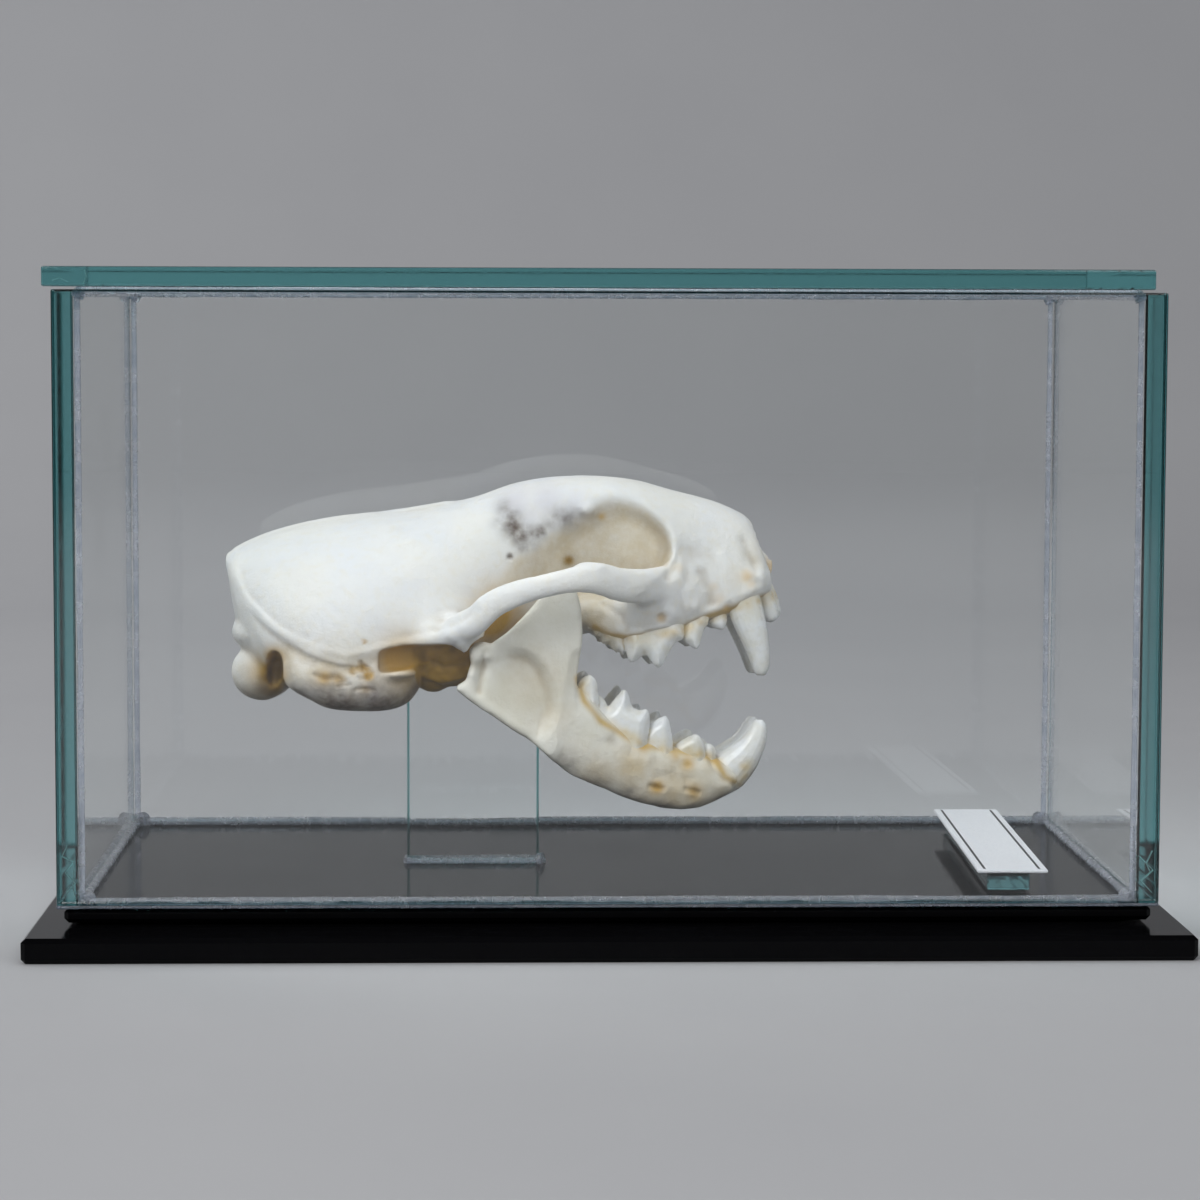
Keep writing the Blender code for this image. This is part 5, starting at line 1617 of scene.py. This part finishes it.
def skull():
    bone = bone_finish("cranium_finish", WHITE_BONE, COOL_BONE, WARM_BONE, True)
    jaw = bone_finish("jaw_finish", IVORY, IVORY_SHADE, IVORY_SHADE, False)
    enamel = enamel_finish()
    upper = cranium_bone()
    finish_cranium(upper)
    smooth_piece(upper, bone, "cranium")
    teeth = tooth_row("upper_teeth", UPPER_BLADES, UPPER_TEETH, UPPER_FRONT, UPPER_CANINE, (1, -1))
    finish_teeth(teeth, UPPER_GUM)
    smooth_piece(teeth, enamel, "cranium")
    for side, word in ((1, "left"), (-1, "right")):
        half = jaw_bone(side)
        half.name = f"jaw_bone_{word}"
        finish_jaw(half)
        smooth_piece(half, jaw, f"mandible_{word}")
        name = f"lower_teeth_{word}"
        teeth = tooth_row(name, LOWER_BLADES, LOWER_TEETH, LOWER_FRONT, LOWER_CANINE, (side,))
        finish_teeth(teeth, LOWER_GUM)
        smooth_piece(teeth, enamel, f"mandible_{word}")


def case():
    glass = glass_finish("pane_glass", 0.0, GLASS_TINT, 18.0, PANE_DENSITY)
    edge = glass_finish("ground_edge", 0.06, colour(196, 228, 232), 1.2, EDGE_DENSITY)
    polished = glass_finish("polished_edge", 0.22, colour(236, 246, 248), 1.2, PANE_DENSITY)
    for node in ("pane_front", "pane_back", "pane_left", "pane_right", "pane_top"):
        glass_piece(node.replace("pane", "glass"), node, glass, edge)
    glass_piece("clear_post", "post", glass, polished)
    glass_piece("glass_strip", "label_block", glass, edge)
    flaws(crack_finish())
    sealant(sealant_finish())
    black = black_finish()
    for node in ("plinth", "base_board"):
        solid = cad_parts[node]
        solid.data.materials.clear()
        solid.data.materials.append(black)
    label(card_finish(), ink_finish())


# Studio, in metres: the floor's curve into the wall, lamps with place, power and size, and camera
BACKDROP_FAR = 0.62
BACKDROP_HIGH = 0.75
BACKDROP_BEND = 0.22
BACKDROP_SIDE = 1.6
BACKDROP_NEAR = -1.2
BACKDROP_STEPS = 12
SKULL_AT = (-0.012, 0.0, 0.035)
LAMPS = (
    ("key", (-0.36, -0.56, 0.60), 2.9, (0.5, 0.4)),
    ("fill", (0.38, -0.58, 0.42), 1.0, (0.45, 0.45)),
    ("top", (0.0, 0.12, 0.80), 1.1, (0.6, 0.4)),
    ("rim", (-0.45, 0.42, 0.35), 0.5, (0.3, 0.4)),
)
WORLD_COLOUR = (0.84, 0.84, 0.85, 1.0)
WORLD_STRENGTH = 0.10
CAMERA_AT = (-0.01403, -0.40559, 0.0697)
CAMERA_YAW = -1.96
CAMERA_DOWN = 4.72
CAMERA_TILT = 0.18
LENS = 102.27
SENSOR = 36.0
NEAREST = 0.01


def backdrop():
    """Pale floor that curves up into a plain wall."""
    made, tree, shader, where = finish("backdrop")
    hue = mixed(tree, colour(206, 207, 210), colour(198, 199, 203), grain(tree, where, 60.0, 3.0))
    wire(tree, shader, {
        "Base Color": hue,
        "Roughness": 0.7,
        "Specular IOR Level": 0.2,
    })
    profile = [(BACKDROP_NEAR, 0.0)]
    for k in range(BACKDROP_STEPS + 1):
        turn = math.radians(90 * k / BACKDROP_STEPS)
        profile.append((BACKDROP_FAR - BACKDROP_BEND + BACKDROP_BEND * math.sin(turn),
                        BACKDROP_BEND * (1 - math.cos(turn))))
    profile.append((BACKDROP_FAR, BACKDROP_HIGH))
    bm = bmesh.new()
    sides = [[bm.verts.new((x, y, z)) for y, z in profile] for x in (-BACKDROP_SIDE, BACKDROP_SIDE)]
    for k in range(len(profile) - 1):
        bm.faces.new((sides[0][k], sides[1][k], sides[1][k + 1], sides[0][k + 1]))
    sheet = as_object(bm, "studio_floor")
    sheet.data.shade_smooth()
    sheet.data.materials.append(made)


def lamp(name, at, power, size):
    light = bpy.data.lights.new(name, "AREA")
    light.shape = "RECTANGLE"
    light.size, light.size_y = size
    light.energy = power
    obj = bpy.data.objects.new(name, light)
    bpy.context.scene.collection.objects.link(obj)
    obj.location = at
    obj.rotation_euler = (Vector(SKULL_AT) - Vector(at)).to_track_quat("-Z", "Y").to_euler()


def studio():
    backdrop()
    for spec in LAMPS:
        lamp(*spec)
    world = bpy.data.worlds.new("studio")
    world.use_nodes = True
    tree = world.node_tree
    wire(tree, tree.nodes["Background"], {"Color": WORLD_COLOUR, "Strength": WORLD_STRENGTH})
    bpy.context.scene.world = world
    bpy.context.scene.view_settings.view_transform = "Standard"


def camera():
    data = bpy.data.cameras.new("camera")
    data.lens = LENS
    data.sensor_width = SENSOR
    data.clip_start = NEAREST
    eye = bpy.data.objects.new("camera", data)
    bpy.context.scene.collection.objects.link(eye)
    eye.location = CAMERA_AT
    turn = Matrix.Rotation(math.radians(CAMERA_YAW), 3, "Z")
    turn = turn @ Matrix.Rotation(math.radians(90.0 - CAMERA_DOWN), 3, "X")
    turn = turn @ Matrix.Rotation(math.radians(CAMERA_TILT), 3, "Z")
    eye.rotation_euler = turn.to_euler()
    bpy.context.scene.camera = eye


skull()
case()
studio()
camera()
